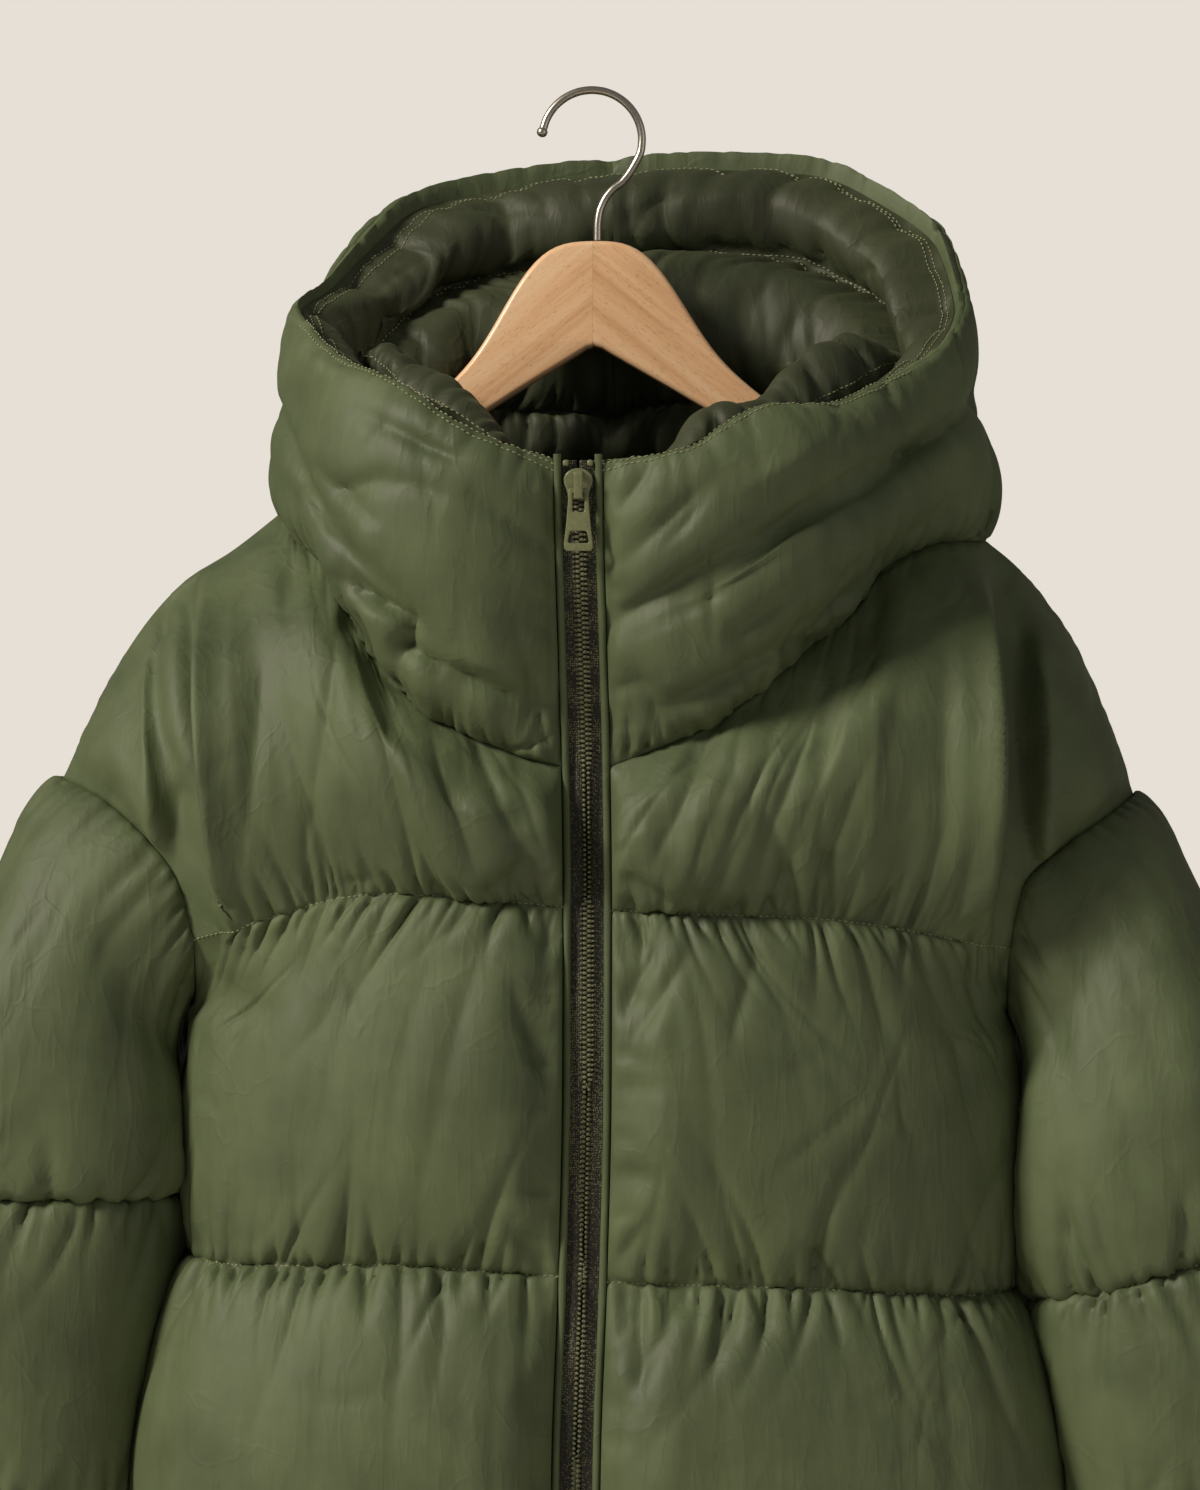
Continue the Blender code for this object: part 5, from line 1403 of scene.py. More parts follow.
def times(tree, one, other):
    """The product of two values."""
    return add_node(tree, "ShaderNodeMath", {"operation": "MULTIPLY"}, {0: one, 1: other}), "Value"


def bump(tree, strength, distance, height, below=None, settings=None):
    """The normal of a bump of this height, on top of the one below."""
    inputs = {"Strength": strength, "Distance": distance, "Height": height}
    if below:
        inputs["Normal"] = below
    return add_node(tree, "ShaderNodeBump", settings, inputs), "Normal"


def mottled(tree, shader, place, scale, detail, stops):
    """Colours the shader by a fine noise, whose value comes back."""
    value = (noise(tree, place, scale, detail), "Fac")
    wire(tree, shader, {"Base Color": ramp(tree, value, stops)})
    return value


def calendered_nylon(name, low, high, roughness):
    # Plain-woven nylon pressed between hot rollers: an even olive with a soft satin gloss, fine dry
    # creases from folding and a weave just short of visible.
    material, tree, shader, place = new_material(name, {
        "Roughness": roughness, "IOR": 1.5, "Sheen Weight": 0.1, "Sheen Roughness": 0.4,
        "Sheen Tint": colour("#B9C096")})
    clouds = (noise(tree, place, 14.0, 4.0, Roughness=0.6), "Fac")
    # Dry creases about 7 mm apart and several times as long, running down the cloth.
    stretch = mapped(tree, place, Scale=(1, 1, 0.22))
    bent = warped(tree, stretch, 60.0, 2.0, 0.02)
    dry = noise(tree, bent, 95.0, 4.0, {"noise_type": "RIDGED_MULTIFRACTAL"},
                Roughness=0.55, Lacunarity=2.2, Offset=0.9, Gain=1.2)
    fine = noise(tree, stretch, 260.0, 3.0)
    both = add_node(tree, "ShaderNodeMath", {"operation": "MULTIPLY_ADD"},
                    {0: (fine, "Fac"), 1: 0.35, 2: (dry, "Fac")})
    relief = bump(tree, 0.16, 0.0012, (both, 0))
    # Longer creases at all angles, each a thin line that comes and goes.
    cells = add_node(tree, "ShaderNodeTexVoronoi", {"feature": "DISTANCE_TO_EDGE"},
                     {"Vector": warped(tree, place, 16.0, 3.0, 0.06), "Scale": 26.0})
    line = ranged(tree, (cells, "Distance"), 0.0, 0.05, 1.0, 0.0, "SMOOTHSTEP")
    shown = ranged(tree, (noise(tree, place, 22.0), "Fac"), 0.45, 0.62, 0.0, 1.0)
    folded = bump(tree, 0.14, 0.0014, times(tree, line, shown), relief)
    # Threads about 0.25 mm apart, drawn at 0.9 mm so that they just tell.
    weave = add_node(tree, "ShaderNodeTexVoronoi", inputs={"Vector": place, "Scale": 1100.0})
    wire(tree, shader, {
        "Base Color": ramp(tree, clouds, [(0.3, low), (0.7, high)]),
        "Normal": bump(tree, 0.05, 0.0003, (weave, "Distance"), folded),
        "Roughness": ranged(tree, clouds, 0.3, 0.7, roughness - 0.05, roughness + 0.06),
    })
    return material


def polyester_thread(name, low, high):
    # Spun sewing thread: paler than the cloth and a little fuzzy, so each stitch reads as a dash.
    material, tree, shader, place = new_material(name, {"Roughness": 0.7, "Sheen Weight": 0.3})
    mottled(tree, shader, place, 900.0, 2.0, [(0.35, low), (0.65, high)])
    return material


def knitted_tape(name, low, high):
    # Warp-knitted polyester tape: pale beads of yarn about 1.1 mm apart in close columns, darker out from
    # each bead's middle, with painted shade near-black in the gaps between the beads.
    material, tree, shader, place = new_material(name, {"Roughness": 0.75, "Sheen Weight": 0.2})
    beads = add_node(tree, "ShaderNodeTexVoronoi", inputs={
        "Vector": mapped(tree, place, Scale=(1.0, 0.2, 0.8)), "Scale": 1000.0, "Randomness": 0.55})
    away = (beads, "Distance")
    wire(tree, shader, {
        # The last, near-black stop of this ramp is painted shade in the gaps of the knit.
        "Base Color": ramp(tree, away, [(0.08, high), (0.34, low), (0.5, "#15160C")]),
        "Normal": bump(tree, 0.9, 0.0004, away, settings={"invert": True}),
    })
    return material


def moulded_acetal(name, low, high):
    # Injection-moulded acetal: a hard, slightly waxy plastic with a broad highlight on each tooth.
    material, tree, shader, place = new_material(name, {"Roughness": 0.42, "IOR": 1.48})
    mottled(tree, shader, place, 420.0, 2.0, [(0.3, low), (0.7, high)])
    return material


def painted_zinc(name, low, high):
    # Die-cast zinc under baked paint: smooth with a faint orange peel and soft highlights on its edges.
    material, tree, shader, place = new_material(
        name, {"Roughness": 0.36, "IOR": 1.5, "Coat Weight": 0.25, "Coat Roughness": 0.25})
    peel = mottled(tree, shader, place, 700.0, 3.0, [(0.25, low), (0.75, high)])
    wire(tree, shader, {"Normal": bump(tree, 0.12, 0.0002, peel)})
    return material


def varnished_beech(name, slope):
    # Steamed beech under clear varnish: warm straw with straight grain along the arm, short dark pores
    # and a thin glossy coat.
    material, tree, shader, place = new_material(
        name, {"Roughness": 0.42, "IOR": 1.5, "Coat Weight": 0.5, "Coat Roughness": 0.18})
    along_arm = mapped(tree, place, Rotation=(0, slope, 0))
    bands = mapped(tree, along_arm, Scale=(5, 60, 130))
    grain = (noise(tree, bands, 1.0, 5.0, Roughness=0.62, Distortion=0.4), "Fac")
    tone = ramp(tree, grain, [(0.25, "#D8A475"), (0.5, "#F3C597"), (0.75, "#FBD9B2")])
    # Pores are 0.1 mm wide and 2 mm long, drawn 0.3 mm wide.
    pores = noise(tree, mapped(tree, along_arm, Scale=(240, 1500, 2200)), 1.0, 1.0)
    dark = ramp(tree, (pores, "Fac"), [(0.28, "#8A5A34"), (0.36, "#FFFFFF")])
    both = add_node(tree, "ShaderNodeMix", {"data_type": "RGBA", "blend_type": "MULTIPLY"},
                    {0: 0.45, 6: tone, 7: dark})
    wire(tree, shader, {"Base Color": (both, 2), "Normal": bump(tree, 0.15, 0.0003, grain)})
    return material


def satin_steel(name):
    # Drawn steel wire, nickel-plated and tumbled: grey metal with a soft bright line along it.
    material, tree, shader, place = new_material(
        name, {"Base Color": colour("#C9C3B8"), "Metallic": 1.0, "Roughness": 0.3})
    scuffs = (noise(tree, place, 500.0, 4.0), "Fac")
    wire(tree, shader, {
        "Roughness": ranged(tree, scuffs, 0.0, 1.0, 0.22, 0.4),
        "Normal": bump(tree, 0.08, 0.0001, scuffs),
    })
    return material


def matt_paper(name, code):
    # Seamless studio paper: dead matt with the faintest mottle.
    material, tree, shader, place = new_material(name, {"Roughness": 0.95, "Specular IOR Level": 0.2})
    mottled(tree, shader, place, 3.0, 2.0, [(0.3, code), (0.7, "#F5F0E7")])
    return material


FINISHES = {}
MAKERS = {
    # The hood's inside is the same nylon as the shell. Its darker greens are painted shade for the hollow
    # of the hood.
    "inside": (calendered_nylon, "olive nylon, hood inside", "#323823", "#40472F", 0.6),
    "thread": (polyester_thread, "pale olive polyester thread", "#7F8560", "#A3A680"),
    "tape": (knitted_tape, "olive knitted zip tape", "#474A31", "#8E9070"),
    "teeth": (moulded_acetal, "olive moulded acetal", "#4E5039", "#74765A"),
    "zinc": (painted_zinc, "olive painted zinc", "#6B7152", "#80845F"),
    "beech left": (varnished_beech, "varnished beech, left arm", math.radians(38)),
    "beech right": (varnished_beech, "varnished beech, right arm", math.radians(-38)),
    "steel": (satin_steel, "satin nickel-plated steel"),
    "paper": (matt_paper, "pale studio paper", "#F0EADF"),
}


def finish_named(name):
    """The material of this name, made the first time that it is asked for."""
    if name not in FINISHES:
        cloth = bpy.context.scene.coat_cloth
        shell = (calendered_nylon, "olive calendered nylon", cloth.shade_low, cloth.shade_high, 0.62)
        maker, *values = shell if name == "shell" else MAKERS[name]
        FINISHES[name] = maker(*values)
    return FINISHES[name]


# ------------------------------------------------------------------ sewing and teeth


def new_tree(name, sizes):
    """An empty Geometry Nodes tree with its geometry, these sizes, a seed and a material as inputs."""
    tree = bpy.data.node_groups.new(name, "GeometryNodeTree")

    def socket(label, kind, value=None, in_out="INPUT"):
        made = tree.interface.new_socket(label, in_out=in_out, socket_type="NodeSocket" + kind)
        if value is not None:
            made.default_value = value

    socket("Geometry", "Geometry", in_out="OUTPUT")
    socket("Geometry", "Geometry")
    for label, value in sizes.items():
        socket(label, "Float", value)
    socket("Seed", "Int", 7)
    socket("Material", "Material")
    return tree, tree.nodes.new("NodeGroupInput"), tree.nodes.new("NodeGroupOutput")


def ball(tree, segments, rings, **change):
    """A ball of radius 1 m, sized and moved."""
    round_one = add_node(tree, "GeometryNodeMeshUVSphere", inputs={
        "Segments": segments, "Rings": rings, "Radius": 1.0})
    return add_node(tree, "GeometryNodeTransform", inputs={"Geometry": (round_one, "Mesh"), **change})


def place_along(tree, given, result, shape, lean):
    """Repeats a shape at every pitch of each line, turned to the line and leaning a little."""
    line = add_node(tree, "GeometryNodeMeshToCurve", inputs={"Mesh": (given, "Geometry")})
    spaced = add_node(tree, "GeometryNodeResampleCurve", {"mode": "LENGTH"},
                      {"Curve": (line, "Curve"), "Length": (given, "Pitch")})
    tangent = add_node(tree, "GeometryNodeInputTangent")
    along_line = add_node(tree, "FunctionNodeAlignRotationToVector", {"axis": "Z", "pivot_axis": "AUTO"},
                          {"Vector": (tangent, "Tangent")})
    lean_by = add_node(tree, "FunctionNodeRandomValue", {"data_type": "FLOAT_VECTOR"},
                       {0: (-lean,) * 3, 1: (lean,) * 3, "Seed": (given, "Seed")})
    turned = add_node(tree, "FunctionNodeEulerToRotation", inputs={0: (lean_by, 0)})
    leaning = add_node(tree, "FunctionNodeRotateRotation", {"rotation_space": "LOCAL"},
                       {"Rotation": (along_line, "Rotation"), "Rotate By": (turned, "Rotation")})
    placed = add_node(tree, "GeometryNodeInstanceOnPoints", inputs={
        "Points": (spaced, "Curve"), "Instance": (shape, "Geometry"), "Rotation": (leaning, "Rotation")})
    solid = add_node(tree, "GeometryNodeRealizeInstances", inputs={"Geometry": (placed, "Instances")})
    soft = add_node(tree, "GeometryNodeSetShadeSmooth", inputs={"Geometry": (solid, "Geometry")})
    last = add_node(tree, "GeometryNodeSetMaterial",
                    inputs={"Geometry": (soft, "Geometry"), "Material": (given, "Material")})
    wire(tree, result, {"Geometry": (last, "Geometry")})


def stitch_tree():
    """A running stitch: a short, round-ended thread at every pitch."""
    name = "Running stitch"
    if name in bpy.data.node_groups:
        return bpy.data.node_groups[name]
    sizes = {"Pitch": 0.0032, "Stitch length": 0.0024, "Thread radius": 0.0003}
    tree, given, result = new_tree(name, sizes)
    half = times(tree, (given, "Stitch length"), 0.5)
    size = add_node(tree, "ShaderNodeCombineXYZ", inputs={
        "X": (given, "Thread radius"), "Y": (given, "Thread radius"), "Z": half})
    place_along(tree, given, result, ball(tree, 5, 3, Scale=(size, "Vector")), 0.09)
    return tree


def tooth_tree():
    """One side of the zip: a round-headed tooth with a leg that grips the tape, at every pitch."""
    name = "Zip teeth"
    if name in bpy.data.node_groups:
        return bpy.data.node_groups[name]
    tree, given, result = new_tree(name, {"Pitch": 0.00256, "Side": 1.0})
    head = ball(tree, 7, 4, Scale=(0.00165, 0.0011, 0.00098))
    out = times(tree, (given, "Side"), 0.0019)
    shift = add_node(tree, "ShaderNodeCombineXYZ", inputs={"X": out, "Y": 0.0003, "Z": 0.0})
    leg = ball(tree, 5, 3, Translation=(shift, "Vector"), Scale=(0.0011, 0.0008, 0.00062))
    tooth = add_node(tree, "GeometryNodeJoinGeometry")
    for part in (head, leg):
        wire(tree, tooth, {"Geometry": (part, "Geometry")})
    place_along(tree, given, result, tooth, 0.03)
    return tree


def repeat_along(name, lines, tree, values, material, slot):
    """A plain mesh of the tree's shapes along these lines (millimetres), riding on the coat."""
    points, edges = [], []
    for line in lines:
        edges += [(len(points) + i, len(points) + i + 1) for i in range(len(line) - 1)]
        points += (np.asarray(line) * MM).tolist()
    data = bpy.data.meshes.new(name)
    data.from_pydata(points, edges, [])
    path = linked(name + " path", data)
    modifier = path.modifiers.new(tree.name, "NODES")
    modifier.node_group = tree
    sockets = {item.name: item.identifier for item in tree.interface.items_tree if item.in_out == "INPUT"}
    for label, value in {**values, "Material": material}.items():
        modifier[sockets[label]] = value
    made = plain_mesh(path)
    made.name = name
    if not made.materials:
        made.materials.append(material)
    return carry(linked(name, made), "coat", slot)


def sew(name, lines):
    """Stitches along these lines of the coat."""
    pitch = bpy.context.scene.coat_cloth.stitch_pitch
    values = {"Pitch": pitch, "Stitch length": 0.72 * pitch, "Thread radius": 0.00038, "Seed": 7}
    return repeat_along(name, lines, stitch_tree(), values, finish_named("thread"), "olive_nylon")


def raised_row(skin, row, by=0.25):
    """The line of one row of a finished skin, lifted off it."""
    across = np.gradient(skin.outer, axis=1)[row]
    down = np.gradient(skin.outer, axis=0)[row]
    way = unit(np.cross(across, down))
    inner = skin.inner[min(len(skin.inner) - 1, row * len(skin.inner) // len(skin.outer))].mean(axis=0)
    if ((skin.outer[row].mean(axis=0) - inner) * way.mean(axis=0)).sum() < 0:
        way = -way
    return skin.outer[row] + by * way


def dress(skins, finish, slot):
    """Makes the filled skins finished pieces that stand for their nodes."""
    for skin in skins:
        finer(skin)
        gathered(skin)
        obj = carry(skin_object(skin, finish_named(finish)), "coat", slot, *skin.nodes)


# ------------------------------------------------------------------ pieces


def front_skin(side):
    """One front, from the neck and shoulder to the hem."""
    grid, height, direction, room = half_panel(side, True)
    grid = pulled_in(grid, ("top", "right"))
    outer, inner = skins_of(grid, height, direction)
    return Skin(f"front_{side}_shell", [f"front_{side}"], outer, inner, seam_rows(CHANNEL_ROWS), room,
                gather=BODY_GATHER, folds=FRONT_FOLDS[side], sides=(0.8, 0.3), dry=(130, 1.7))


def back_skin():
    """The back, cut in one, with its two halves joined down the middle."""
    left = half_panel("left", False)
    right = half_panel("right", False)
    joined = [np.concatenate([a[:, ::-1], b[:, 1:]], axis=1) for a, b in zip(left, right)]
    grid, height, direction, room = joined
    grid = pulled_in(grid, ("top", "left", "right"))
    outer, inner = skins_of(grid, height, direction)
    return Skin("back_shell", ["back_panel"], outer, inner, seam_rows(CHANNEL_ROWS), room,
                halve=(False, True), gather=BODY_GATHER, sides=(0.3, 0.3), dry=(150, 1.7))


def pulled_in(grid, edges):
    """The grid with these edges moved SIDE_GAP towards the inside of the piece."""
    grid = grid.copy()
    lines = {
        "top": (grid[0], grid[1]),
        "left": (grid[:, 0], grid[:, 1]),
        "right": (grid[:, -1], grid[:, -2]),
    }
    for name in edges:
        edge, beside = lines[name]
        edge += SIDE_GAP * unit(beside - edge)
    return grid


def cuff_skin(side, edge):
    """The elasticated band below a sleeve's last ring, with its small gathers."""
    centre = edge.mean(axis=0)
    ring = centre + (edge - centre) * 0.965
    away = unit((edge - centre) * np.array([1, 1, 0]))
    rng = np.random.default_rng(5 if side == "left" else 6)
    gathers = rng.uniform(-0.7, 0.5, len(edge))
    levels = np.linspace(0.4, CUFF_LENGTH, 13)
    skins = []
    for way in (1, -0.55):
        rows = []
        for level in levels:
            end = min(level - 0.4, CUFF_LENGTH - level)
            rise = 0.9 + (CUFF_RISE - 0.9) * float(roundness(end, 4))
            wrinkle = gathers * float(roundness(end, 8)) * (way > 0)
            row = ring + away * (rise * way + wrinkle)[:, None]
            row[:, 2] = ring[:, 2] - level
            row[:, 0] -= sign_of(side) * 1.5 * level / CUFF_LENGTH
            rows.append(row)
        skins.append(np.array(rows))
    room = np.full(skins[0].shape[:2], 1.5)
    return Skin(f"cuff_{side}_band", [f"cuff_{side}"], *skins, [len(levels) // 2], room,
                closed=True, gather=CUFF_GATHER)


def hood_skins(side):
    """The outer and the inner side of half the hood, with the inner roll."""
    raised = np.array([0, 0, SEAM_GAP])
    outer, hidden = hood_outer_grids(side)
    share = hood_lines(side)[0]
    outer[0] += raised
    hidden[0] += raised
    inside, core = hood_inner_grids(side)
    inside[-1] += raised
    core[-1] += raised
    for grid in (outer, hidden, inside, core):
        grid[:, -1, 0] += HOOD_MIDDLE_GAP * sign_of(side)
    rows = seam_rows([count for count, _ in HOOD_INSIDE_STRETCHES])
    space = 1.0 + 5.0 * np.sin(math.pi * np.linspace(0, 1, len(outer)))[:, None] * np.ones(outer.shape[1])
    snug = 0.3 + 3.0 * np.clip((share - 0.02) / 0.1, 0, 1)[None, :] * np.ones((len(inside), 1))
    return (
        Skin(f"hood_{side}_outer_shell", [f"hood_outer_{side}"], outer, hidden, [], space,
             gather=(0.9, 0.25), folds=HOOD_FOLDS_FRONT[side], sides=(0.5, 0.2), lift=7.0, dry=(34, 3.4)),
        Skin(f"hood_{side}_inner_shell", [f"hood_inner_{side}"], inside, core, [rows[1], rows[4]], snug,
             gather=(0.25, 0.8, 0.8, 0.5), sides=(0.0, 0.2), dry=(30, 2.2), pinch=(8.0, 34.0)),
    )


def zip_strip(x_in, x_out, profile):
    """A band along the zip's line. profile gives the depth across it, front side then back side."""
    z = np.linspace(ZIP_TOP, HEM_Z, TAPE_STEPS + 1)
    x, y = zip_line(z)
    grids = []
    for depths in profile:
        places = [x + x_in + (x_out - x_in) * share for share in np.linspace(0, 1, len(depths))]
        columns = [np.stack([place, y + depth, z], axis=-1) for place, depth in zip(places, depths)]
        grids.append(np.stack(columns, axis=1))
    return grids


def plain_wall(name, outer, inner, material):
    """A closed wall between two grids of the same size."""
    return skin_object(Skin(name, [], outer, inner, [], None), material)


def tidied(name, data, material, sharp):
    """The object of a mesh made from a curve, with its seams closed and its faces outwards."""
    mesh = bmesh.new()
    mesh.from_mesh(data)
    bmesh.ops.remove_doubles(mesh, verts=mesh.verts, dist=0.000005)
    bmesh.ops.recalc_face_normals(mesh, faces=mesh.faces)
    mesh.to_mesh(data)
    mesh.free()
    return finished(name, data, material, sharp)


def plate(name, outlines, thick, material, bevel):
    """A flat plate with rounded edges from outlines in x and z, the first with the rest cut out."""
    curve = bpy.data.curves.new(name, "CURVE")
    curve.dimensions = "2D"
    curve.fill_mode = "BOTH"
    curve.extrude = (thick / 2 - bevel) * MM
    curve.bevel_depth = bevel * MM
    curve.offset = -bevel * MM
    curve.bevel_resolution = 3
    for points in outlines:
        spline = curve.splines.new("POLY")
        spline.points.add(len(points) - 1)
        for point, (x, z) in zip(spline.points, points):
            point.co = (x * MM, z * MM, 0, 1)
        spline.use_cyclic_u = True
    data = plain_mesh(linked(name + " outline", curve))
    data.transform(Matrix.Rotation(math.pi / 2, 4, "X"))
    return tidied(name, data, material, 35)


def rounded(points, radius):
    """A closed outline with its corners turned by short arcs."""
    points = [np.array(p, float) for p in points]
    result = []
    for before, corner, after in zip([points[-1], *points[:-1]], points, [*points[1:], points[0]]):
        room = min(np.linalg.norm(before - corner), np.linalg.norm(after - corner)) * 0.45
        cut = min(radius, room)
        start = corner + unit(before - corner) * cut
        end = corner + unit(after - corner) * cut
        for t in np.linspace(0, 1, CORNER_STEPS + 1):
            result.append(tuple((1 - t) ** 2 * start + 2 * t * (1 - t) * corner + t * t * end))
    return result


def rod(name, points, radii, material):
    """A round rod through points in millimetres, closed at both ends."""
    curve = bpy.data.curves.new(name, "CURVE")
    curve.dimensions = "3D"
    curve.bevel_depth = MM
    curve.bevel_resolution = ROD_SIDES // 2 - 2
    curve.use_fill_caps = True
    spline = curve.splines.new("POLY")
    spline.points.add(len(points) - 1)
    for point, place, radius in zip(spline.points, points, radii):
        point.co = (*(v * MM for v in place), 1)
        point.radius = radius
    return tidied(name, plain_mesh(linked(name + " path", curve)), material, 50)


def mitred(arm, sign):
    """Cuts an arm square at the hanger's middle and closes the cut."""
    mesh = bmesh.new()
    mesh.from_mesh(arm.data)
    middle = (HANGER_PIVOT[0] + sign * MITRE_GAP) * MM
    cut = bmesh.ops.bisect_plane(
        mesh, geom=[*mesh.verts, *mesh.edges, *mesh.faces], plane_co=(middle, 0, 0),
        plane_no=(-sign, 0, 0), clear_outer=True)
    edges = [item for item in cut["geom_cut"] if isinstance(item, bmesh.types.BMEdge)]
    bmesh.ops.edgeloop_fill(mesh, edges=edges)
    bmesh.ops.recalc_face_normals(mesh, faces=mesh.faces)
    mesh.to_mesh(arm.data)
    mesh.free()


def mirrored(points):
    """A closed outline from its right half, listed from top to bottom."""
    return list(points) + [(-x, z) for x, z in reversed(points)]


# ------------------------------------------------------------------ settings


def amount(name, description, default, least, most, **more):
    """A number among the settings."""
    return bpy.props.FloatProperty(
        name=name, description=description, default=default, min=least, max=most, **more)


def distance(name, description, default, least, most, precision=4):
    """A length in metres among the settings."""
    return amount(name, description, default, least, most, unit="LENGTH", precision=precision)


class ClothSettings(bpy.types.PropertyGroup):
    """Cut, filling and colour of the cloth"""

    pucker_depth: distance("Pucker depth", "Height of the gathers beside a seam", 0.0064, 0.0, 0.01)
    pucker_spacing: distance(
        "Pucker spacing", "Mean distance between gathers along a seam", 0.0098, 0.006, 0.04)
    pressure: amount("Filling", "Pressure of the filling while the cloth is blown up", 4.0, 0.0, 10.0)
    fullness: amount(
        "Spare cloth", "Share by which the cloth is larger than its seams allow", 0.03, 0.0, 0.2,
        subtype="FACTOR")
    shade_low: bpy.props.StringProperty(
        name="Darker green", description="sRGB colour of the shell's darker patches", default="#485437")
    shade_high: bpy.props.StringProperty(
        name="Lighter green", description="sRGB colour of the shell's lighter patches", default="#5D6A48")
    stitch_pitch: distance("Stitch pitch", "Distance from one stitch to the next", 0.0032, 0.0015, 0.01)


class ZipSettings(bpy.types.PropertyGroup):
    """Sizes of the zip"""

    tooth_pitch: distance(
        "Tooth pitch", "Distance between two teeth of one side", 0.00256, 0.001, 0.01, precision=5)
    tape_half: distance(
        "Tape reach", "Distance of the tape's outer edge from the zip's centre line", 0.0118, 0.006, 0.02)


class StageSettings(bpy.types.PropertyGroup):
    """Floor, light and camera"""

    floor_drop: amount(
        "Floor below the hook", "How far the floor lies below the hook", 1.36, 1.2, 3.0, unit="LENGTH")
    key_power: amount("Key light", "Power of the large soft light", 485.0, 0.0, 1000.0, unit="POWER")
    surroundings: amount("Room light", "Strength of the pale light from all round", 0.16, 0.0, 3.0)
    backdrop: amount("Backdrop", "Brightness of the pale wall behind the coat", 0.94, 0.0, 3.0)
    lens: amount("Lens", "Focal length of the camera", 87.86, 20.0, 300.0, unit="CAMERA")


# ------------------------------------------------------------------ operators


class COAT_OT_body(bpy.types.Operator):
    """Cuts, fills and quilts both fronts and the back"""

    bl_idname = "coat.body"
    bl_label = "Fronts and back"

    def execute(self, context):
        skins = [front_skin("left"), front_skin("right"), back_skin()]
        fill(skins)
        dress(skins, "shell", "olive_nylon")
        lines = [raised_row(skin, row) for skin in skins for row in skin.seams]
        sew("body_quilting", lines)
        return {"FINISHED"}


class COAT_OT_sleeves(bpy.types.Operator):
    """Cuts, fills and quilts both sleeves, and makes their elasticated cuffs"""

    bl_idname = "coat.sleeves"
    bl_label = "Sleeves and cuffs"

    def execute(self, context):
        skins = []
        for side in SIDES:
            outer, inner, room = sleeve_skins(side)
            edge = (outer[-1] + inner[-1]) / 2
            sleeve = Skin(f"sleeve_{side}_shell", [f"sleeve_{side}"], outer, inner, seam_rows(SLEEVE_ROWS),
                          room, closed=True, gather=SLEEVE_GATHER, dry=(60, 1.8))
            skins += [sleeve, cuff_skin(side, edge)]
        fill(skins)
        dress(skins, "shell", "olive_nylon")
        lines = [raised_row(skin, row) for skin in skins for row in skin.seams]
        sew("sleeve_quilting", [np.concatenate([line, line[:1]]) for line in lines])
        return {"FINISHED"}


class COAT_OT_hood(bpy.types.Operator):
    """Cuts, fills and topstitches the hood's two sides"""

    bl_idname = "coat.hood"
    bl_label = "Hood"

    def execute(self, context):
        outers, inners = zip(*(hood_skins(side) for side in SIDES))
        fill([*outers, *inners])
        dress(outers, "shell", "olive_nylon")
        # The inner sides take the darker copy of the shell nylon, which is painted shade inside the hood.
        dress(inners, "inside", "olive_nylon_inside")
        lines = []
        for skin in outers:
            shown = int(0.45 * skin.outer.shape[1])
            lines += [raised_row(skin, len(skin.outer) - 1 - n, 0.3)[:shown] for n in (2, 5)]
        for skin in inners:
            away = lengths(skin.outer, 0).mean(axis=1)
            seam = away[skin.seams[0]]
            rows = [int(np.abs(away - place).argmin()) for place in (3.5, 10.5, seam, seam + 7)]
            lines += [raised_row(skin, row, 0.3) for row in rows]
        sew("hood_topstitch", lines)
        return {"FINISHED"}


class COAT_OT_zip(bpy.types.Operator):
    """Weaves the zip's tapes, sets its teeth and folds the padded welts beside it"""

    bl_idname = "coat.zip"
    bl_label = "Zip and welts"

    def execute(self, context):
        sizes = context.scene.coat_zip
        reach = sizes.tape_half / MM
        for side in SIDES:
            sign = sign_of(side)
            front, back = zip_strip(sign * TAPE_START, sign * reach, TAPE_PROFILE)
            tape = plain_wall(f"zip_tape_{side}_weave", front, back, finish_named("tape"))
            carry(tape, "coat", "olive_zip_tape", f"zip_tape_{side}")
            self.welt(side)
            pitch = sizes.tooth_pitch
            start = ZIP_TOP - 6 - (0.5 * pitch / MM if side == "right" else 0)
            z = np.arange(start, HEM_Z + 1.5, -pitch / MM)
            x, y = zip_line(z)
            chain = np.stack([x + sign * TOOTH_ROW[0], y + TOOTH_ROW[1], z], axis=-1)
            teeth = repeat_along(f"zip_teeth_{side}", [chain], tooth_tree(),
                                 {"Pitch": pitch, "Side": sign, "Seed": 3}, finish_named("teeth"),
                                 "olive_moulded_teeth")
            if side == "left":
                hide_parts("zip_chain")
        return {"FINISHED"}

    def welt(self, side):
        """A thin fold of the shell beside the tape, with a little play in its edge."""
        sign = sign_of(side)
        rng = np.random.default_rng(81 if side == "left" else 91)
        z = np.linspace(ZIP_TOP + 3, HEM_Z, 261)
        x, y = zip_line(z)
        play = np.convolve(rng.normal(0, 1, len(z) + 12), np.hanning(13) / 3, "valid")
        middle, half = (WELT_IN + WELT_OUT) / 2, (WELT_OUT - WELT_IN) / 2
        front = []
        for a in np.linspace(0, math.pi, 13):
            across = middle - half * np.sign(np.cos(a)) * abs(np.cos(a)) ** 0.8
            rise = 3.4 * np.sin(a) ** 0.6 * (1 + 0.10 * play)
            ridge = 0.22 * play * np.sin(a)
            place = x + sign * (across + 0.12 * play * np.sin(a))
            front.append(np.stack([place, y - rise - ridge * 0.5, z], axis=-1))
        front = np.stack(front, axis=1)
        back = front.copy()
        back[..., 1] = (y + 1.4)[:, None]
        welt = plain_wall(f"welt_{side}_fold", front, back, finish_named("shell"))
        carry(welt, "coat", "olive_nylon", f"welt_{side}")


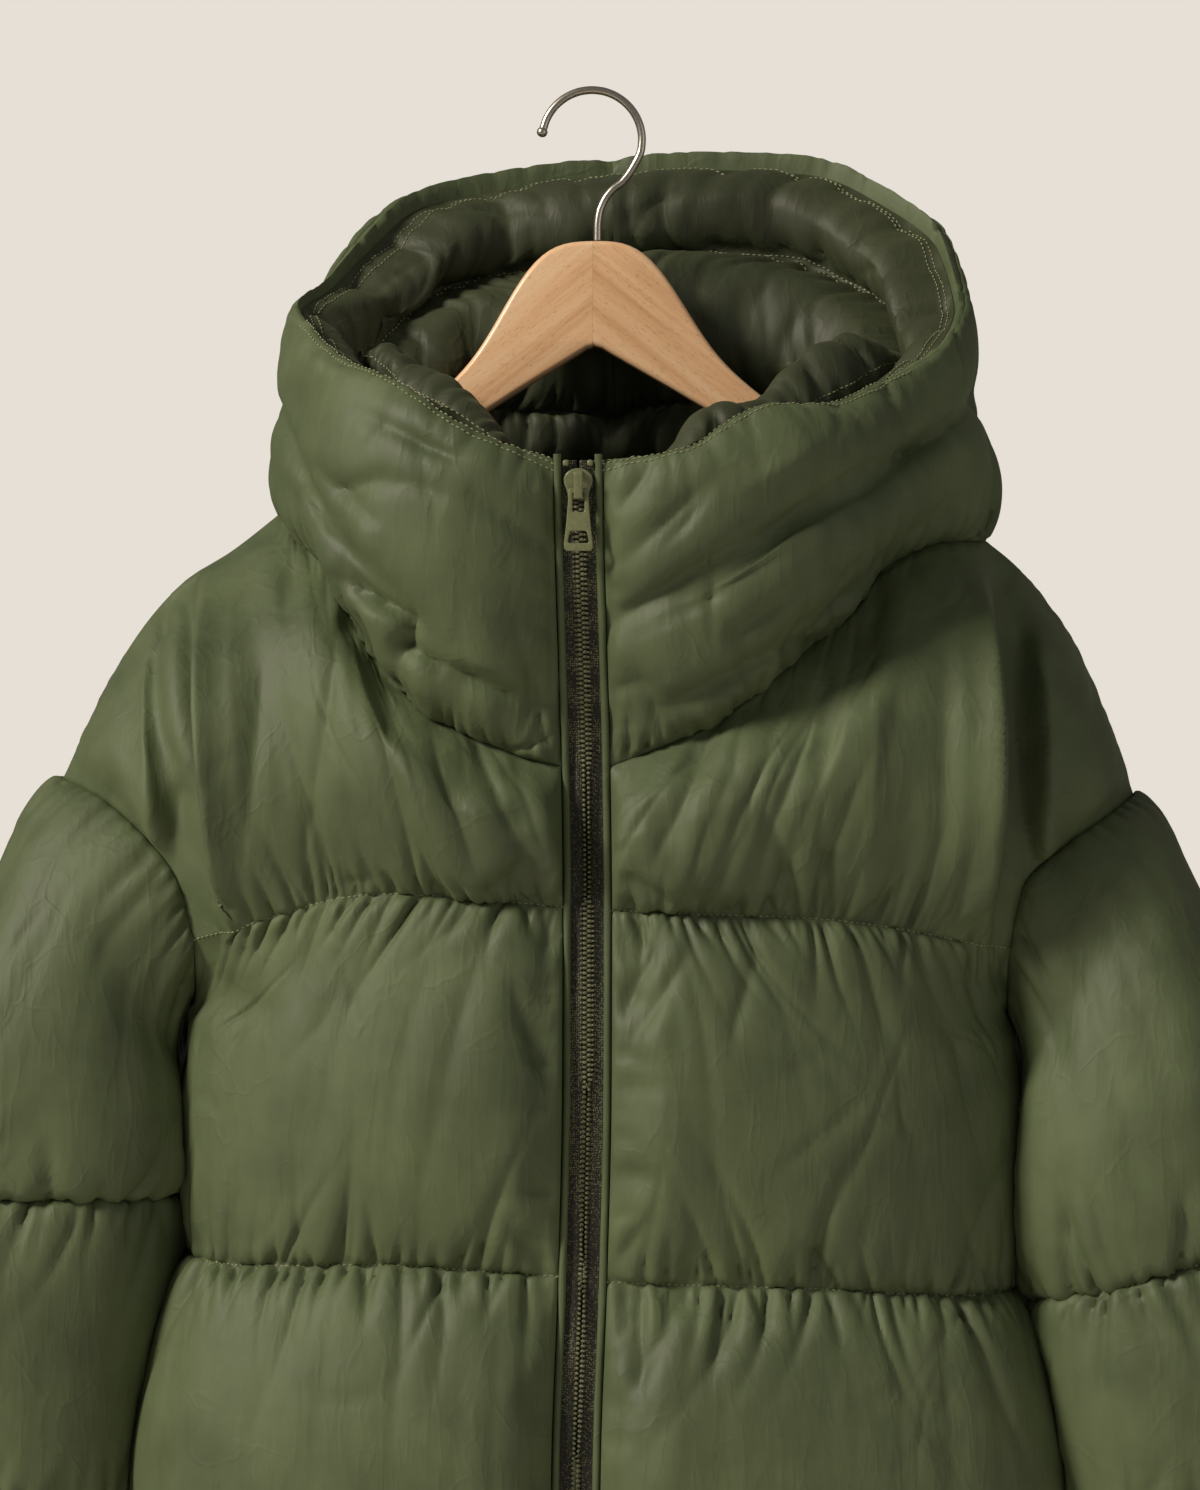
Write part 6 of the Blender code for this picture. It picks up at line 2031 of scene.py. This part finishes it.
class COAT_OT_slider(bpy.types.Operator):
    """Casts the slider, its pull tab and the two top stops"""

    bl_idname = "coat.slider"
    bl_label = "Slider and pull tab"

    def execute(self, context):
        zinc = finish_named("zinc")
        x, y = (float(v) for v in zip_line(SLIDER_Z))
        crown = rounded(mirrored(SLIDER_OUTLINE), 1.6)
        body = plate("zip_slider_crown", [crown], SLIDER_THICK + 0.6, zinc, 0.75)
        top, bottom = (float(zip_line(SLIDER_Z + d)[1]) for d in (8, -8))
        tilt = Matrix.Rotation(math.atan2(bottom - top, 16), 4, "X")
        place = Matrix.Translation(Vector((x, y - SLIDER_OFF, SLIDER_Z)) * MM) @ tilt
        body.data.transform(place)
        half = SLIDER_THICK / 2
        reach = half + BRIDGE_CLEAR + BRIDGE_THICK
        foot, inner_reach, inner_half = 0.3 - half, -reach + BRIDGE_THICK, BRIDGE_HALF - BRIDGE_THICK
        hoop = [(foot, BRIDGE_HALF), (-reach, BRIDGE_HALF), (-reach, -BRIDGE_HALF),
                (foot, -BRIDGE_HALF), (foot, -inner_half), (inner_reach, -inner_half),
                (inner_reach, inner_half), (foot, inner_half)]
        bridge = plate("zip_slider_bridge", [rounded(hoop, 1.5)], BRIDGE_WIDTH, zinc, 0.6)
        bridge.data.transform(place @ Matrix.Rotation(math.pi / 2, 4, "Z"))
        carry(body, "coat", "olive_painted_zinc", "zip_slider")
        carry(bridge, "coat", "olive_painted_zinc")
        x, y = (float(v) for v in zip_line(PIVOT_Z))
        outlines = [rounded(mirrored(points), r) for points, r in
                    ((PULL_OUTLINE, 1.6), (PULL_SLOT, 0.9), (PULL_HOLE, 1.1))]
        pull = plate("zip_pull_tab", outlines, PULL_THICK, zinc, 0.45)
        axis_y = y - SLIDER_OFF - SLIDER_THICK / 2 - BRIDGE_CLEAR / 2
        pull.data.transform(Matrix.Translation(Vector((x, axis_y, PIVOT_Z)) * MM))
        carry(pull, "pull_tab", "olive_painted_zinc", "zip_pull")
        for side in SIDES:
            z = ZIP_TOP - STOP_DROP
            x, y = (float(v) for v in zip_line(z))
            middle = Vector((x + sign_of(side) * 6.2, y - 2.3, z)) * MM
            mesh = bmesh.new()
            bmesh.ops.create_uvsphere(mesh, u_segments=20, v_segments=12, radius=1.0)
            mesh.verts.index_update()
            points, faces = [], []
            for vertex in mesh.verts:
                soft = [math.copysign(abs(c) ** 0.75, c) * s * MM for c, s in zip(vertex.co, STOP_SIZE)]
                points.append(Vector(soft) + middle)
            for face in mesh.faces:
                ring = [vertex.index for vertex in face.verts]
                first = ring.index(min(ring))
                faces.append(ring[first:] + ring[:first])
            mesh.free()
            data = bpy.data.meshes.new(f"zip_stop_{side}_cap")
            data.from_pydata(points, [], sorted(faces))  # sorted, because Blender's order varies
            data.shade_smooth()
            data.materials.append(zinc)
            carry(linked(data.name, data), "coat", "olive_painted_zinc", f"zip_stop_{side}")
        return {"FINISHED"}


class COAT_OT_hanger(bpy.types.Operator):
    """Shapes the hanger's two mitred arms and bends its hook"""

    bl_idname = "coat.hanger"
    bl_label = "Hanger"

    def execute(self, context):
        for side in SIDES:
            outline = hanger_outline(side)
            wood = finish_named(f"beech {side}")
            arm = plate(f"hanger_arm_{side}_wood", [outline], HANGER_THICK, wood, HANGER_EDGE)
            mitred(arm, sign_of(side))
            carry(arm, "coat", "varnished_beech", f"hanger_arm_{side}")
        points = np.array([(x, 0, z) for x, z in hook_points()])
        tip, after = points[0], points[1]
        ahead = unit(tip - after)
        line = along(points, np.linspace(0, 1, 160))
        ball = np.array(HOOK_BALL)
        reach = smooth(np.linspace(0, 1, len(ball)), ball, np.linspace(0, 1, 13))
        rows = [tip + ahead * far for far, _ in reach[:-1]]
        radii = [HOOK_WIRE * share for _, share in reach[:-1]] + [HOOK_WIRE] * len(line)
        hook = rod("hanger_hook_wire", [*rows, *line], radii, finish_named("steel"))
        carry(hook, "coat", "satin_steel", "hanger_hook")
        return {"FINISHED"}


class COAT_OT_stage(bpy.types.Operator):
    """Lays the floor and sets the light and the camera"""

    bl_idname = "coat.stage"
    bl_label = "Floor, light and camera"

    def execute(self, context):
        scene, sizes = context.scene, context.scene.coat_stage
        data = bpy.data.meshes.new("floor")
        mesh = bmesh.new()
        bmesh.ops.create_circle(mesh, cap_ends=True, segments=96, radius=2.3)
        mesh.to_mesh(data)
        mesh.free()
        data.transform(Matrix.Translation((0, 0, -sizes.floor_drop)))
        data.materials.append(finish_named("paper"))
        linked("floor", data)
        world = bpy.data.worlds.new("pale room")
        world.use_nodes = True
        tree = world.node_tree
        room = tree.nodes["Background"]
        pale = colour("#EDE6DC")
        wire(tree, room, {"Color": pale, "Strength": sizes.surroundings})
        wall = add_node(tree, "ShaderNodeBackground", inputs={"Color": pale, "Strength": sizes.backdrop})
        seen = add_node(tree, "ShaderNodeLightPath")
        both = add_node(tree, "ShaderNodeMixShader", inputs={
            0: (seen, "Is Camera Ray"), 1: (room, "Background"), 2: (wall, "Background")})
        wire(tree, tree.nodes["World Output"], {"Surface": (both, "Shader")})
        scene.world = world
        self.light("key", (-5.1, -3.3, 3.3), 1.6, sizes.key_power, "#FFF4E4")
        self.light("fill", (2.6, -2.2, 0.2), 2.0, FILL_SHARE * sizes.key_power, "#FFF8EE")
        camera = linked("camera", bpy.data.cameras.new("camera"))
        camera.data.sensor_fit = "VERTICAL"
        camera.data.sensor_height = 36
        camera.data.lens = sizes.lens
        camera.location = CAMERA_PLACE
        camera.rotation_euler = (math.pi / 2, 0, 0)
        scene.camera = camera
        scene.view_settings.view_transform = "Standard"
        return {"FINISHED"}

    def light(self, name, place, size, power, code):
        """A square light that faces the coat."""
        lamp = bpy.data.lights.new(name, "AREA")
        lamp.size, lamp.energy, lamp.color = size, power, colour(code)[:3]
        obj = linked(name, lamp)
        obj.location = place
        obj.rotation_euler = (Vector(LIT_POINT) - Vector(place)).to_track_quat("-Z", "Y").to_euler()


OPERATORS = (
    COAT_OT_body, COAT_OT_sleeves, COAT_OT_hood, COAT_OT_zip, COAT_OT_slider, COAT_OT_hanger,
    COAT_OT_stage,
)


class COAT_PT_panel(bpy.types.Panel):
    """Lists the coat's sizes and the steps that make it"""

    bl_idname = "COAT_PT_panel"
    bl_label = "Puffer coat"
    bl_space_type = "VIEW_3D"
    bl_region_type = "UI"
    bl_category = "Coat"

    def draw(self, context):
        for group in (context.scene.coat_cloth, context.scene.coat_zip, context.scene.coat_stage):
            box = self.layout.box()
            for name in group.bl_rna.properties.keys():
                if name not in ("rna_type", "name"):
                    box.prop(group, name)
        for operator in OPERATORS:
            self.layout.operator(operator.bl_idname)


CLASSES = (ClothSettings, ZipSettings, StageSettings, *OPERATORS, COAT_PT_panel)


def register():
    for cls in CLASSES:
        bpy.utils.register_class(cls)
    bpy.types.Scene.coat_cloth = bpy.props.PointerProperty(type=ClothSettings)
    bpy.types.Scene.coat_zip = bpy.props.PointerProperty(type=ZipSettings)
    bpy.types.Scene.coat_stage = bpy.props.PointerProperty(type=StageSettings)


def unregister():
    for name in ("coat_cloth", "coat_zip", "coat_stage"):
        delattr(bpy.types.Scene, name)
    for cls in reversed(CLASSES):
        bpy.utils.unregister_class(cls)


def main():
    register()
    bpy.ops.coat.body()
    bpy.ops.coat.sleeves()
    bpy.ops.coat.hood()
    bpy.ops.coat.zip()
    bpy.ops.coat.slider()
    bpy.ops.coat.hanger()
    bpy.ops.coat.stage()


if __name__ == "__main__":
    main()
